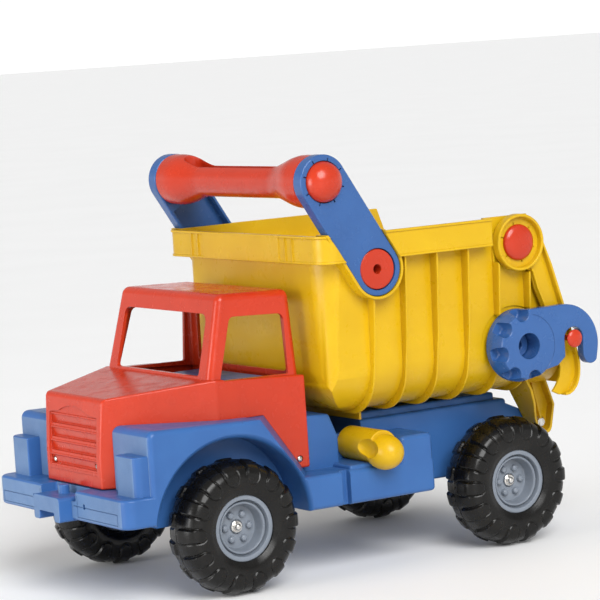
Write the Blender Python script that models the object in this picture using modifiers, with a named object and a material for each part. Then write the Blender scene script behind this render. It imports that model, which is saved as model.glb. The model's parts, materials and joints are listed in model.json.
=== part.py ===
"""Push along tipper truck: an assembly of moulded parts with rolling wheels, a tipping bed,
a swinging tailgate held by two coupled hook levers, and a bed lock lever.

Units are metres, +X is forward, +Y is the truck's left, +Z is up.
The origin is on the ground under the middle of the truck.
"""

import math

import bmesh
import bpy
from mathutils import Matrix, Vector

MM = 0.001
GAP = 0.4 * MM
WELD = 0.01 * MM
SIDES = (("left", 1), ("right", -1))

# Wheels and axles
WHEEL_RADIUS = 75.5 * MM
WHEEL_BASE = 373 * MM
FRONT_AXLE_X = 164 * MM
REAR_AXLE_X = FRONT_AXLE_X - WHEEL_BASE
TYRE_MID_Y = 140.6 * MM
AXLE_RADIUS = 4 * MM
AXLE_HALF_LENGTH = 149 * MM
WHEEL_STEPS = 24
HUB_STEPS = 16
PIN_STEPS = 12

# Chassis
SIDE_Y = 153 * MM
SPINE_Y = 92 * MM
SPINE_TOP = 163 * MM
BOTTOM_Z = 79 * MM
LEDGE_Z = 118 * MM
BUMPER_FRONT = 305 * MM
BUMPER_LOW = 91 * MM
BUMPER_TOP = 124 * MM
FENDER_FRONT = 270 * MM
ARCH_RADIUS = 98 * MM
ARCH_INNER_Y = 104 * MM

# Cab
CAB_SIDE_Y = 125 * MM
NOSE_Y = 64 * MM
NOSE_X = 284 * MM
SHOULDER_X = 165 * MM
CAB_REAR_X = 49 * MM
CAB_LOW_Z = 124 * MM
CAB_WALL = 4 * MM
DECK_Z = 190 * MM

# Bed
BED_WALL = 3.6 * MM
BED_FLOOR = 178 * MM
BED_LEDGE = 354 * MM
BED_TOP = 385 * MM
BED_FRONT_X = 37 * MM
BED_REAR_X = -300 * MM
BED_SIDE_Y = 159 * MM
BAND_Y = 174 * MM
BED_CORNER = 58 * MM
RIB_X = [(-23.2 - 43.6 * k) * MM for k in range(6)]
RIB_THICK = 3 * MM
PIVOT_X = -294 * MM
PIVOT_Z = 129.5 * MM
LEG_Y = 94 * MM
LEG_DEPTH = 14 * MM
LEG_WIDE_Y = 139 * MM
LEG_TOP = 205 * MM

# Handle
ARM_LOW = (-27.7 * MM, 342.3 * MM)
ARM_HIGH = (36.7 * MM, 445.5 * MM)
ARM_RADIUS = 30.5 * MM
ARM_IN_Y = 154.6 * MM
ARM_OUT_Y = 171 * MM
GRIP_END_RADIUS = 30 * MM
GRIP_WAIST_RADIUS = 19.5 * MM

# Tailgate and its hook levers
GATE_PIVOT = (-228.5 * MM, 353.5 * MM)
GATE_RING = 33 * MM
CHEEK_Y = 160.3 * MM
CHEEK_THICK = 3.7 * MM
FLANGE_OUT_Y = 171.4 * MM
KNOB = (-221.7 * MM, 234.1 * MM)
KNOB_RADIUS = 42.5 * MM
KNOB_IN_Y = 157.5 * MM
LEVER_IN_Y = 173 * MM
LEVER_OUT_Y = 185 * MM
LATCH_PIN = (-286 * MM, 236 * MM)

# Bed lock lever
LOCK_X = -27.4 * MM
LOCK_Z = 139.5 * MM
LOCK_RADIUS = 19.5 * MM
LOCK_TIP_Y = 188 * MM

RED = ("red_plastic", (0.67, 0.075, 0.028, 1), 0.3, 0.0)
BLUE = ("blue_plastic", (0.06, 0.17, 0.46, 1), 0.42, 0.0)
YELLOW = ("yellow_plastic", (0.83, 0.55, 0.03, 1), 0.35, 0.0)
BLACK = ("tyre_plastic", (0.02, 0.02, 0.02, 1), 0.35, 0.0)
GREY = ("hub_plastic", (0.25, 0.28, 0.34, 1), 0.4, 0.0)
STEEL = ("zinc_steel", (0.6, 0.6, 0.6, 1), 0.3, 1.0)


def clear_scene():
    """Remove every object that the file opens with."""
    for obj in list(bpy.data.objects):
        bpy.data.objects.remove(obj, do_unlink=True)


def new_collection(name):
    """Make a collection under the scene's own."""
    collection = bpy.data.collections.new(name)
    bpy.context.scene.collection.children.link(collection)
    return collection


def finish_material(finish):
    """Return the Principled material for a finish, made once."""
    name, colour, roughness, metallic = finish
    material = bpy.data.materials.get(name)
    if material is None:
        material = bpy.data.materials.new(name)
        material.use_nodes = True
        shader = material.node_tree.nodes["Principled BSDF"]
        shader.inputs["Base Color"].default_value = colour
        shader.inputs["Roughness"].default_value = roughness
        shader.inputs["Metallic"].default_value = metallic
        material.diffuse_color = colour
    return material


def add_mesh(name, mesh):
    """Wrap a mesh in an object of the truck's collection."""
    obj = bpy.data.objects.new(name, mesh)
    PARTS.objects.link(obj)
    return obj


def evaluated_mesh(obj):
    """Return a fresh mesh of an object with its curve or modifiers worked out."""
    graph = bpy.context.evaluated_depsgraph_get()
    graph.update()
    return bpy.data.meshes.new_from_object(obj.evaluated_get(graph))


def weld(mesh, distance=WELD):
    """Join the points of a mesh that lie on each other."""
    work = bmesh.new()
    work.from_mesh(mesh)
    bmesh.ops.remove_doubles(work, verts=work.verts, dist=distance)
    bmesh.ops.recalc_face_normals(work, faces=work.faces)
    work.to_mesh(mesh)
    work.free()


def arc(centre, radius, start, end, steps):
    """Points on a circle from one angle to another, in degrees, both ends included."""
    angles = [math.radians(start + (end - start) * i / steps) for i in range(steps + 1)]
    return [(centre[0] + radius * math.cos(a), centre[1] + radius * math.sin(a)) for a in angles]


def rounded(corners, steps=3):
    """Replace each (x, y, radius) corner of an outline with an arc of that radius."""
    points = []
    count = len(corners)
    for i, (x, y, radius) in enumerate(corners):
        here = Vector((x, y))
        before = (Vector(corners[i - 1][:2]) - here).normalized()
        after = (Vector(corners[(i + 1) % count][:2]) - here).normalized()
        if radius <= 0:
            points.append((x, y))
            continue
        half = before.angle(after) / 2
        middle = here + (before + after).normalized() * radius / math.sin(half)
        first = here + before * radius / math.tan(half)
        last = here + after * radius / math.tan(half)
        start = (first - middle).normalized()
        sweep = start.angle_signed((last - middle).normalized())
        for k in range(steps + 1):
            turned = Matrix.Rotation(-sweep * k / steps, 2) @ start
            points.append(tuple(middle + turned * radius))
    return points


AXES = {
    "X": Matrix(((0, 0, 1), (1, 0, 0), (0, 1, 0))).to_4x4(),
    "Y": Matrix(((1, 0, 0), (0, 0, -1), (0, 1, 0))).to_4x4(),
    "Z": Matrix.Identity(4),
}


def prism(name, axis, outlines, low, high):
    """A flat outline, or an outline with holes, extruded along an axis from low to high.

    The outline's two numbers are (y, z) for X, (x, z) for Y and (x, y) for Z.
    """
    curve = bpy.data.curves.new(name, "CURVE")
    curve.dimensions = "2D"
    curve.fill_mode = "BOTH"
    curve.extrude = (high - low) / 2
    loops = outlines if isinstance(outlines[0], list) else [outlines]
    for loop in loops:
        spline = curve.splines.new("POLY")
        spline.points.add(len(loop) - 1)
        for point, (u, v) in zip(spline.points, loop):
            point.co = (u, v, 0, 1)
        spline.use_cyclic_u = True
    flat = bpy.data.objects.new(name + "_outline", curve)
    PARTS.objects.link(flat)
    mesh = evaluated_mesh(flat)
    bpy.data.objects.remove(flat, do_unlink=True)
    weld(mesh)
    middle = (low + high) / 2
    shift = {"X": (middle, 0, 0), "Y": (0, middle, 0), "Z": (0, 0, middle)}[axis]
    mesh.transform(Matrix.Translation(shift) @ AXES[axis])
    return add_mesh(name, mesh)


def box(name, x, y, z, bevel=0.0, segments=2):
    """A box between (low, high) pairs, with rounded edges where a bevel width is given."""
    work = bmesh.new()
    bmesh.ops.create_cube(work, size=1)
    size = Matrix.Diagonal((x[1] - x[0], y[1] - y[0], z[1] - z[0], 1))
    middle = Matrix.Translation(((x[0] + x[1]) / 2, (y[0] + y[1]) / 2, (z[0] + z[1]) / 2))
    bmesh.ops.transform(work, matrix=middle @ size, verts=work.verts)
    mesh = bpy.data.meshes.new(name)
    work.to_mesh(mesh)
    work.free()
    obj = add_mesh(name, mesh)
    if bevel > 0:
        rounding = obj.modifiers.new("edges", "BEVEL")
        rounding.width = bevel
        rounding.segments = segments
    return obj


def cylinder_y(name, centre, radius, low, high, steps=PIN_STEPS):
    """A round bar along Y about the (x, z) centre."""
    work = bmesh.new()
    bmesh.ops.create_cone(
        work, cap_ends=True, segments=steps, radius1=radius, radius2=radius, depth=high - low
    )
    place = Matrix.Translation((centre[0], (low + high) / 2, centre[1]))
    bmesh.ops.transform(work, matrix=place @ Matrix.Rotation(math.pi / 2, 4, "X"), verts=work.verts)
    mesh = bpy.data.meshes.new(name)
    work.to_mesh(mesh)
    work.free()
    return add_mesh(name, mesh)


def turned_y(name, centre, profile, steps):
    """A closed turned ring or disc about Y through the (x, z) centre.

    The profile is a closed loop of (radius, y) or an open one that starts and ends on the axis.
    """
    curve = [Vector((radius, 0, y)) for radius, y in profile]
    mesh = bpy.data.meshes.new(name + "_profile")
    edges = [(i, i + 1) for i in range(len(curve) - 1)]
    if profile[0][0] > 0:
        edges.append((len(curve) - 1, 0))
    mesh.from_pydata(curve, edges, [])
    work = add_mesh(name + "_profile", mesh)
    screw = work.modifiers.new("turn", "SCREW")
    screw.axis = "Z"
    screw.steps = steps
    screw.render_steps = steps
    screw.use_merge_vertices = True
    screw.merge_threshold = WELD
    solid = evaluated_mesh(work)
    bpy.data.objects.remove(work, do_unlink=True)
    weld(solid)
    turn = Matrix.Rotation(-math.pi / 2, 4, "X")
    solid.transform(Matrix.Translation((centre[0], 0, centre[1])) @ turn)
    obj = add_mesh(name, solid)
    orient(obj)
    return obj


def orient(obj):
    """Turn a closed mesh's faces outward."""
    work = bmesh.new()
    work.from_mesh(obj.data)
    bmesh.ops.recalc_face_normals(work, faces=work.faces)
    if work.calc_volume(signed=True) < 0:
        bmesh.ops.reverse_faces(work, faces=work.faces)
    work.to_mesh(obj.data)
    work.free()


def combine(target, tools, operation):
    """Add one exact Boolean to the target for each tool, and put the tools with the cutters."""
    for tool in tools:
        change = target.modifiers.new(tool.name, "BOOLEAN")
        change.operation = operation
        change.solver = "EXACT"
        change.object = tool
        PARTS.objects.unlink(tool)
        CUTTERS.objects.link(tool)
        tool.hide_render = True
        tool.display_type = "WIRE"
    return target


def join(target, *tools):
    """Add tools to the target."""
    return combine(target, tools, "UNION")


def cut(target, *tools):
    """Cut tools out of the target."""
    return combine(target, tools, "DIFFERENCE")


def keep(target, *tools):
    """Keep only what lies inside every tool."""
    return combine(target, tools, "INTERSECT")


def dress(obj, finish, parent):
    """Give an object its material and hang it under its joint's empty."""
    obj.data.materials.clear()
    obj.data.materials.append(finish_material(finish))
    for tool in [m.object for m in obj.modifiers if m.type == "BOOLEAN"]:
        tool.data.materials.clear()
    obj.parent = parent
    obj.matrix_parent_inverse = parent.matrix_world.inverted()
    obj.data.shade_smooth()
    obj.data.set_sharp_from_angle(angle=math.radians(35))
    return obj


def joint_empty(name, place, parent=None):
    """An empty on a joint's axis, which the joint's pieces hang under."""
    empty = bpy.data.objects.new(name, None)
    PARTS.objects.link(empty)
    empty.location = place
    if parent:
        empty.parent = parent
        bpy.context.view_layer.update()
        empty.matrix_parent_inverse = parent.matrix_world.inverted()
    bpy.context.view_layer.update()
    return empty


def mirrored(points):
    """The outline given on the +Y side, closed with its mirror image on the -Y side."""
    return points + [(-u, v) for u, v in reversed(points)]


def on_side(sign, low, high):
    """A range of Y given for the left side, mirrored where the sign is negative."""
    return (low, high) if sign > 0 else (-high, -low)


def both_sides(low, high):
    """The +Y range and the -Y range of a paired piece, with the side's name and sign."""
    return [(side, sign, on_side(sign, low, high)) for side, sign in SIDES]


def hull(name, points):
    """The convex solid round a set of points."""
    work = bmesh.new()
    for point in points:
        work.verts.new(point)
    result = bmesh.ops.convex_hull(work, input=work.verts)
    inner = {v for v in result["geom_interior"] if isinstance(v, bmesh.types.BMVert)}
    bmesh.ops.delete(work, geom=list(inner), context="VERTS")
    mesh = bpy.data.meshes.new(name)
    work.to_mesh(mesh)
    work.free()
    return add_mesh(name, mesh)


# --- Chassis -------------------------------------------------------------------------------


def cab_plan(grow, rear):
    """The cab's plan outline, widening from the nose to the doors, grown on its sides."""
    front = NOSE_X + grow
    return [
        (front, NOSE_Y + grow),
        (SHOULDER_X, CAB_SIDE_Y + grow),
        (rear, CAB_SIDE_Y + grow),
        (rear, -CAB_SIDE_Y - grow),
        (SHOULDER_X, -CAB_SIDE_Y - grow),
        (front, -NOSE_Y - grow),
    ]


def deck_outline(grow):
    """Side outline of the chassis under the cab's skirts: front slot, deck and rear slope."""
    return [
        (216 * MM + grow, 40 * MM),
        (216 * MM + grow, DECK_Z + grow),
        (107 * MM - grow, DECK_Z + grow),
        (56 * MM - grow, 118.5 * MM + grow),
        (20 * MM, 118.5 * MM + grow),
        (20 * MM, 40 * MM),
    ]


# Corners of the slanted strip that joins the cab's skirt edge to the fender's rear slope
SKIRT_SEAT = [
    (56, 126, 118.5), (107, 126, 190), (74.8, 152.3, 119), (128, 152.3, 190.2),
    (150, 152.3, 190.2), (150, 126, 190), (150, 152.3, 110), (150, 126, 110),
    (74.8, 152.3, 110), (56, 126, 110),
    (56, 60, 118.5), (107, 60, 190), (150, 60, 190), (150, 60, 110), (56, 60, 110),
]


def make_chassis(root):
    """The blue base moulding: spine, fenders, bumper, side boxes and axle blocks."""
    fender = rounded([
        (80 * MM, 79.4 * MM, 0),
        (74 * MM, 119 * MM, 0),
        (128 * MM, 191 * MM, 6 * MM),
        (FENDER_FRONT, 195 * MM, 8 * MM),
        (FENDER_FRONT, 92 * MM, 0),
        (240 * MM, 79.6 * MM, 0),
    ])
    chassis = prism("chassis", "Y", fender, -SIDE_Y, SIDE_Y)
    bumper = prism("bumper_bar", "Z", rounded([
        (240 * MM, -SIDE_Y + 0.3 * MM, 0),
        (240 * MM, SIDE_Y - 0.3 * MM, 0),
        (BUMPER_FRONT, SIDE_Y - 0.3 * MM, 16 * MM),
        (BUMPER_FRONT, -SIDE_Y + 0.3 * MM, 16 * MM),
    ]), BUMPER_LOW, BUMPER_TOP)
    spine = box("spine", (-252 * MM, 245 * MM), (-SPINE_Y, SPINE_Y), (80 * MM, SPINE_TOP), 3 * MM)
    plateau = box("plateau", (-240 * MM, -43 * MM), (-84 * MM, 84 * MM), (150 * MM, 171 * MM), 2 * MM)
    tail = prism("tail", "Y", [(-240 * MM, 82 * MM), (-240 * MM, 162 * MM), (-262 * MM, 152 * MM)]
                 + arc((PIVOT_X, PIVOT_Z), 13 * MM, 60, 250, 8), -SPINE_Y + 0.2 * MM, SPINE_Y - 0.2 * MM)
    hump = prism("hump", "Y", rounded([
        (60 * MM, 100 * MM, 0),
        (1 * MM, 100 * MM, 0),
        (1 * MM, 152 * MM, 2 * MM),
        (12 * MM, 179 * MM, 3 * MM),
        (60 * MM, 181 * MM, 0),
    ]), -112 * MM, 112 * MM)
    boxes = box("side_boxes", (-102 * MM, 82 * MM), (-152.6 * MM, 152.6 * MM), (BOTTOM_Z, LEDGE_Z), 4 * MM)
    tank = box("side_tank", (-101.6 * MM, -57 * MM), (-152.2 * MM, 152.2 * MM), (84 * MM, 147 * MM), 4 * MM)
    join(chassis, spine, bumper, plateau, tail, hump, boxes, tank)
    for side, sign in SIDES:
        join(chassis, hull("skirt_seat_" + side, [
            (x * MM, sign * y * MM, z * MM) for x, y, z in SKIRT_SEAT
        ]))
    for side, sign, (low, high) in both_sides(105 * MM, 148 * MM):
        lamp = prism("lamp_block_" + side, "X", rounded([
            (low, 119 * MM, 0),
            (high, 119 * MM, 0),
            (high, 168 * MM, 7 * MM),
            (low, 168 * MM, 7 * MM),
        ]), 252 * MM, 286.5 * MM)
        join(chassis, lamp)
    for x, label in ((FRONT_AXLE_X, "front"), (REAR_AXLE_X, "rear")):
        block = prism(label + "_axle_block", "Y", rounded([
            (x - 24 * MM, 90 * MM, 0),
            (x - 14 * MM, 62 * MM, 5 * MM),
            (x + 14 * MM, 62 * MM, 5 * MM),
            (x + 24 * MM, 90 * MM, 0),
        ]), -SPINE_Y + 0.5 * MM, SPINE_Y - 0.5 * MM)
        join(chassis, block)
    seat = box("seat_block", (62 * MM, 112 * MM), (-74 * MM, 74 * MM), (150 * MM, 226 * MM), 5 * MM)
    slot = prism("cab_slot", "Z", cab_plan(GAP, -10 * MM), CAB_LOW_Z - GAP, 300 * MM)
    over_deck = box("over_deck", (216 * MM, 400 * MM), (-200 * MM, 200 * MM), (60 * MM, 400 * MM))
    keep(slot, over_deck)
    upper_slot = prism("cab_slot_upper", "Z", cab_plan(GAP, -10 * MM), DECK_Z, 300 * MM)
    jaw = prism("tow_jaw", "X", rounded([
        (-31 * MM, 89 * MM, 3 * MM),
        (-17 * MM, 89 * MM, 3 * MM),
        (-17 * MM, 99 * MM, 0),
        (17 * MM, 99 * MM, 0),
        (17 * MM, 89 * MM, 3 * MM),
        (31 * MM, 89 * MM, 3 * MM),
        (31 * MM, 117 * MM, 4 * MM),
        (-31 * MM, 117 * MM, 4 * MM),
    ]), 290 * MM, 321 * MM)
    notch = box("bumper_notch", (284.5 * MM, 330 * MM), (-41 * MM, 41 * MM), (112 * MM, 140 * MM), 3 * MM)
    cut(chassis, slot, upper_slot, notch)
    join(chassis, jaw, seat)
    for side, sign, (low, high) in both_sides(ARCH_INNER_Y, 170 * MM):
        arch = cylinder_y("arch_" + side, (166 * MM, WHEEL_RADIUS), ARCH_RADIUS, low, high, 40)
        cut(chassis, arch)
    for side, sign, (low, high) in both_sides(144 * MM, 170 * MM):
        groove = box("groove_" + side, (14.4 * MM, 25.6 * MM), (low, high), (60 * MM, 150 * MM))
        cut(chassis, groove)
    trough = box("trough", (-42.8 * MM, 0.8 * MM), (-82 * MM, 82 * MM), (118 * MM, 200 * MM))
    relief = box("relief", (-43 * MM, 0.9 * MM), (-95 * MM, 95 * MM), (151 * MM, 200 * MM))
    cut(chassis, trough, relief)
    hollow = prism("underside_hollow", "Y", [
        (-234 * MM, 30 * MM),
        (-234 * MM, 156 * MM),
        (-50 * MM, 156 * MM),
        (-50 * MM, 112 * MM),
        (8 * MM, 112 * MM),
        (8 * MM, 173 * MM),
        (46 * MM, 174 * MM),
        (54 * MM, 150 * MM),
        (68 * MM, 150 * MM),
        (112 * MM, 184 * MM),
        (209 * MM, 184 * MM),
        (209 * MM, 117 * MM),
        (256 * MM, 117 * MM),
        (256 * MM, 30 * MM),
    ], -84 * MM, 84 * MM)
    cut(chassis, hollow)
    for side, sign, (low, high) in both_sides(SPINE_Y + 0.2 * MM, 106 * MM):
        cut(chassis, cylinder_y("spacer_room_" + side, (FRONT_AXLE_X, WHEEL_RADIUS), 9 * MM, low, high))
    for x, label in ((FRONT_AXLE_X, "front"), (REAR_AXLE_X, "rear")):
        cut(chassis, cylinder_y(label + "_axle_bore", (x, WHEEL_RADIUS), AXLE_RADIUS + GAP, -110 * MM, 110 * MM))
    cut(chassis, cylinder_y("lock_bore", (LOCK_X, LOCK_Z), 5.4 * MM, -110 * MM, 110 * MM))
    cut(chassis, cylinder_y("pivot_bore", (PIVOT_X, PIVOT_Z), 4.4 * MM, -110 * MM, 110 * MM))
    for side, sign, (low, high) in both_sides(58 * MM, 62 * MM):
        hole = box("bumper_hole_" + side, (298 * MM, 310 * MM), (low, high), (106 * MM, 112 * MM))
        cut(chassis, hole)
    return dress(chassis, BLUE, root)


# --- Cab -----------------------------------------------------------------------------------


def cab_solid(name, shrink):
    """The cab's closed outer form, or its inner form when shrunk by the wall."""
    s = shrink
    nose_front = 283.6 * MM - s
    body = prism(name, "Z", rounded([
        (nose_front, NOSE_Y - s, 5 * MM),
        (SHOULDER_X - s * 0.3, CAB_SIDE_Y - s, 12 * MM),
        (CAB_REAR_X + s, CAB_SIDE_Y - s, 3 * MM),
        (CAB_REAR_X + s, -CAB_SIDE_Y + s, 3 * MM),
        (SHOULDER_X - s * 0.3, -CAB_SIDE_Y + s, 12 * MM),
        (nose_front, -NOSE_Y + s, 5 * MM),
    ][::-1]), CAB_LOW_Z + (0 if s == 0 else -20 * MM), 260 * MM)
    low = 124.4 * MM if s == 0 else 60 * MM
    side = prism(name + "_side", "Y", [
        (CAB_REAR_X - 20 * MM, low),
        (300 * MM, low),
        (300 * MM, 130 * MM if s == 0 else low),
        (286 * MM - s, 130 * MM),
        (278.5 * MM - s, 221 * MM),
        (275 * MM - s, 224.5 * MM - s),
        (168 * MM - s, 236.5 * MM - s),
        (CAB_REAR_X - 20 * MM, 228 * MM - s),
    ], -200 * MM, 200 * MM)
    keep(body, side)
    house = prism(name + "_house", "Y", rounded([
        (CAB_REAR_X + 2 * MM + s, 200 * MM, 0),
        (178.5 * MM - s, 200 * MM, 0),
        (147 * MM - s, 329 * MM - s, 9 * MM),
        (56 * MM + s, 326 * MM - s, 9 * MM),
    ], 4), -200 * MM, 200 * MM)
    wide = prism(name + "_house_front", "X", rounded([
        (120.5 * MM - s, 200 * MM, 0),
        (110.5 * MM - s, 330 * MM - s, 10 * MM),
        (-110.5 * MM + s, 330 * MM - s, 10 * MM),
        (-120.5 * MM + s, 200 * MM, 0),
    ], 4), 0, 300 * MM)
    keep(house, wide)
    join(body, house)
    return body


def make_cab(root):
    """The red cab shell: bonnet with a grille, open windows all round, no floor."""
    cab = cab_solid("cab_shell", 0)
    cut(cab, cab_solid("cab_inside", CAB_WALL))
    screen = prism("windscreen_hole", "X", rounded([
        (94 * MM, 239 * MM, 5 * MM),
        (93 * MM, 307 * MM, 9 * MM),
        (-93 * MM, 307 * MM, 9 * MM),
        (-94 * MM, 239 * MM, 5 * MM),
    ]), 110 * MM, 200 * MM)
    rear = prism("rear_window_hole", "X", rounded([
        (97 * MM, 232 * MM, 5 * MM),
        (93 * MM, 306 * MM, 9 * MM),
        (-93 * MM, 306 * MM, 9 * MM),
        (-97 * MM, 232 * MM, 5 * MM),
    ]), 30 * MM, 75 * MM)
    doors = prism("side_window_hole", "Y", rounded([
        (155 * MM, 234 * MM, 3 * MM),
        (135 * MM, 303 * MM, 6 * MM),
        (65 * MM, 300 * MM, 6 * MM),
        (66.5 * MM, 232 * MM, 3 * MM),
    ]), -200 * MM, 200 * MM)
    skirts = prism("skirt_cut", "Y", deck_outline(GAP), -200 * MM, 200 * MM)
    hump_room = box("hump_room", (30 * MM, 60 * MM), (-112.4 * MM, 112.4 * MM), (100 * MM, 181.4 * MM))
    cut(cab, screen, rear, doors, skirts, hump_room)
    for k in range(4):
        top = (200 - 15.3 * k) * MM
        slot = box("grille_slot_%d" % k, (279 * MM, 300 * MM), (-55 * MM, 55 * MM), (top - 10 * MM, top))
        slot.data.transform(Matrix.Translation((0.55 * MM * k, 0, 0)))
        cut(cab, slot)
    for side, sign, (low, high) in both_sides(46.4 * MM, 52.6 * MM):
        cut(cab, box("grille_seat_" + side, (277 * MM, 300 * MM), (low, high), (145.4 * MM, 151.6 * MM)))
    for side, sign, (low, high) in both_sides(122.5 * MM, 130 * MM):
        cut(cab, cylinder_y("side_seat_" + side, (62 * MM, 135 * MM), 3.4 * MM, low, high))
    return dress(cab, RED, root)


def make_cab_screws(root):
    """Two screws in the grille's lowest slot and one low on each side of the cab."""
    for side, sign, (low, high) in both_sides(46.4 * MM, 52.6 * MM):
        name = "grille_screw_" + side
        head = cylinder_y(name, (0, 0), 2.7 * MM, 0, 3 * MM, 12)
        head.data.transform(Matrix.Rotation(-math.pi / 2, 4, "Z"))
        head.data.transform(Matrix.Translation((277.4 * MM, sign * 49.5 * MM, 148.5 * MM)))
        orient(head)
        dress(head, STEEL, root)
    for side, sign, (low, high) in both_sides(122.9 * MM, 125.8 * MM):
        screw = cylinder_y("cab_screw_" + side, (62 * MM, 135 * MM), 2.9 * MM, low, high, 12)
        dress(screw, STEEL, root)


# --- Wheels --------------------------------------------------------------------------------


def tyre_profile(sign):
    """Closed (radius, y) loop of a tyre, from its inner bead over the tread to its outer bead."""
    skin = [(35.1, 18.5), (38, 18.9), (38.6, 24.5), (48, 28.8), (60, 29.4), (70, 25), (75.5, 11)]
    hollow = [(71, 9), (66, 20), (50, 24), (35.1, 14.5)]
    outward = [(r * MM, sign * (TYRE_MID_Y + w * MM)) for r, w in skin]
    inward = [(r * MM, sign * (TYRE_MID_Y - w * MM)) for r, w in reversed(skin)]
    return outward + inward + [
        (r * MM, sign * (TYRE_MID_Y - w * MM)) for r, w in reversed(hollow)
    ] + [(r * MM, sign * (TYRE_MID_Y + w * MM)) for r, w in hollow]


def hub_profile(sign):
    """Closed (radius, y) loop of a dished hub with its centre boss."""
    pairs = [
        (4.4, 112.3), (9, 112.3), (9, 140), (25, 140), (33.5, 122), (34.7, 122),
        (34.7, 160), (37, 160.2), (37, 162.6), (35.6, 163.5), (32, 163.5), (30.5, 160.5),
        (27, 159), (25.4, 146.2), (4.4, 146.2),
    ]
    return [(r * MM, sign * y * MM) for r, y in pairs]


def make_wheels(root):
    """Four wheels of a black tyre on a grey hub, with axles, end caps and spacers."""
    for x, end in ((FRONT_AXLE_X, "front"), (REAR_AXLE_X, "rear")):
        centre = (x, WHEEL_RADIUS)
        axle = cylinder_y(end + "_axle", centre, AXLE_RADIUS, -AXLE_HALF_LENGTH, AXLE_HALF_LENGTH)
        dress(axle, STEEL, root)
        for side, sign in SIDES:
            label = end + "_" + side
            spin = joint_empty(label + "_wheel_axis", (x, 0, WHEEL_RADIUS), root)
            tyre = turned_y(label + "_tyre", centre, tyre_profile(sign), WHEEL_STEPS)
            dress(tyre, BLACK, spin)
            hub = turned_y(label + "_hub", centre, hub_profile(sign), HUB_STEPS)
            dress(hub, GREY, spin)
            cap = [(0, 151.2), (4.5, 150.6), (7.2, 146.6), (4.3, 146.6), (4.3, 149.4), (0, 149.4)]
            cap_profile = [(r * MM, sign * y * MM) for r, y in cap]
            dress(turned_y(label + "_axle_cap", centre, cap_profile, PIN_STEPS), STEEL, root)
            ring = [(4.4, 92.4), (8, 92.4), (8, 111.9), (4.4, 111.9)]
            ring_profile = [(r * MM, sign * y * MM) for r, y in ring]
            dress(turned_y(label + "_spacer", centre, ring_profile, PIN_STEPS), BLACK, root)


# --- Bed lock lever ------------------------------------------------------------------------


def make_lock_lever(root):
    """Two yellow grips on one steel cross shaft, with the cam that holds the bed down."""
    spin = joint_empty("lock_lever_axis", (LOCK_X, 0, LOCK_Z), root)
    centre = (LOCK_X, LOCK_Z)
    shaft = cylinder_y("lock_shaft", centre, 5 * MM, -110 * MM, 110 * MM)
    dress(shaft, STEEL, spin)
    for side, sign, (low, high) in both_sides(93 * MM, 164 * MM):
        grip = cylinder_y("lock_grip_" + side, centre, LOCK_RADIUS, low, high, 20)
        work = bmesh.new()
        bmesh.ops.create_uvsphere(work, u_segments=16, v_segments=8, radius=1)
        scale = Matrix.Diagonal((19.5 * MM, 25 * MM, 19.5 * MM, 1))
        shift = Matrix.Translation((LOCK_X, sign * (LOCK_TIP_Y - 24.4 * MM), LOCK_Z - 5 * MM))
        bmesh.ops.transform(work, matrix=shift @ scale, verts=work.verts)
        bulb_mesh = bpy.data.meshes.new("lock_bulb")
        work.to_mesh(bulb_mesh)
        work.free()
        bulb = add_mesh("lock_bulb_" + side, bulb_mesh)
        zone = on_side(sign, 155 * MM, 220 * MM)
        keep(bulb, box("lock_bulb_zone_" + side, (-80 * MM, 30 * MM), zone, (90 * MM, 190 * MM)))
        join(grip, bulb)
        bore = on_side(sign, 90 * MM, 110.4 * MM)
        cut(grip, cylinder_y("lock_grip_bore_" + side, centre, 5.3 * MM, *bore))
        dress(grip, YELLOW, spin)
    cam = prism("lock_cam", "Y", [
        arc(centre, 12 * MM, 0, 337.5, 15),
        arc(centre, 5.3 * MM, 337.5, 0, 15),
    ], -10 * MM, 10 * MM)
    dress(cam, BLUE, spin)


# --- Bed -----------------------------------------------------------------------------------


def bed_section(name, shrink, top, half):
    """The tub's form: rounded underneath, at the front and at its upright front corners."""
    s = shrink
    ends = 60 * MM if s > 0 else 0
    side = prism(name, "Y", rounded([
        (BED_FRONT_X - s, top + (40 * MM if s > 0 else 0), 0),
        (BED_FRONT_X - 3 * MM - s, BED_FLOOR + s, BED_CORNER),
        (BED_REAR_X - ends, BED_FLOOR + s, 0),
        (-258 * MM - ends, BED_LEDGE, 0),
        (-248 * MM - ends, top + (40 * MM if s > 0 else 0), 0),
    ], 4), -half - 20 * MM, half + 20 * MM)
    across = prism(name + "_across", "X", mirrored(rounded([
        (0, BED_FLOOR + s, 0),
        (half - 8 * MM - s, BED_FLOOR + s, BED_CORNER),
        (half - s, 430 * MM, 0),
        (0, 430 * MM, 0),
    ], 4)[1:-1]), -400 * MM, 100 * MM)
    plan = prism(name + "_plan", "Z", rounded([
        (BED_FRONT_X - s, -half + s, 38 * MM),
        (BED_FRONT_X - s, half - s, 38 * MM),
        (-400 * MM, half - s, 0),
        (-400 * MM, -half + s, 0),
    ], 4), 100 * MM, 450 * MM)
    return keep(side, across, plan)


def band_plan(grow):
    """Plan outline of the wide band round the bed's rim."""
    return rounded([
        (46.5 * MM + grow, -BAND_Y - grow, 22 * MM),
        (46.5 * MM + grow, BAND_Y + grow, 22 * MM),
        (-186 * MM, BAND_Y + grow, 0),
        (-186 * MM, -BAND_Y - grow, 0),
    ], 3)


def pocket_outline(radius, top):
    """U outline round the handle arm, open at the top height."""
    along = Vector((ARM_HIGH[0] - ARM_LOW[0], ARM_HIGH[1] - ARM_LOW[1])).normalized()
    angle = math.degrees(math.atan2(along.y, along.x))
    low = arc(ARM_LOW, radius, angle - 90, angle - 270, 12)
    first, last = Vector(low[0]), Vector(low[-1])
    right = first + along * ((top - first.y) / along.y)
    left = last + along * ((top - last.y) / along.y)
    return [tuple(right)] + low + [tuple(left)]


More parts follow.
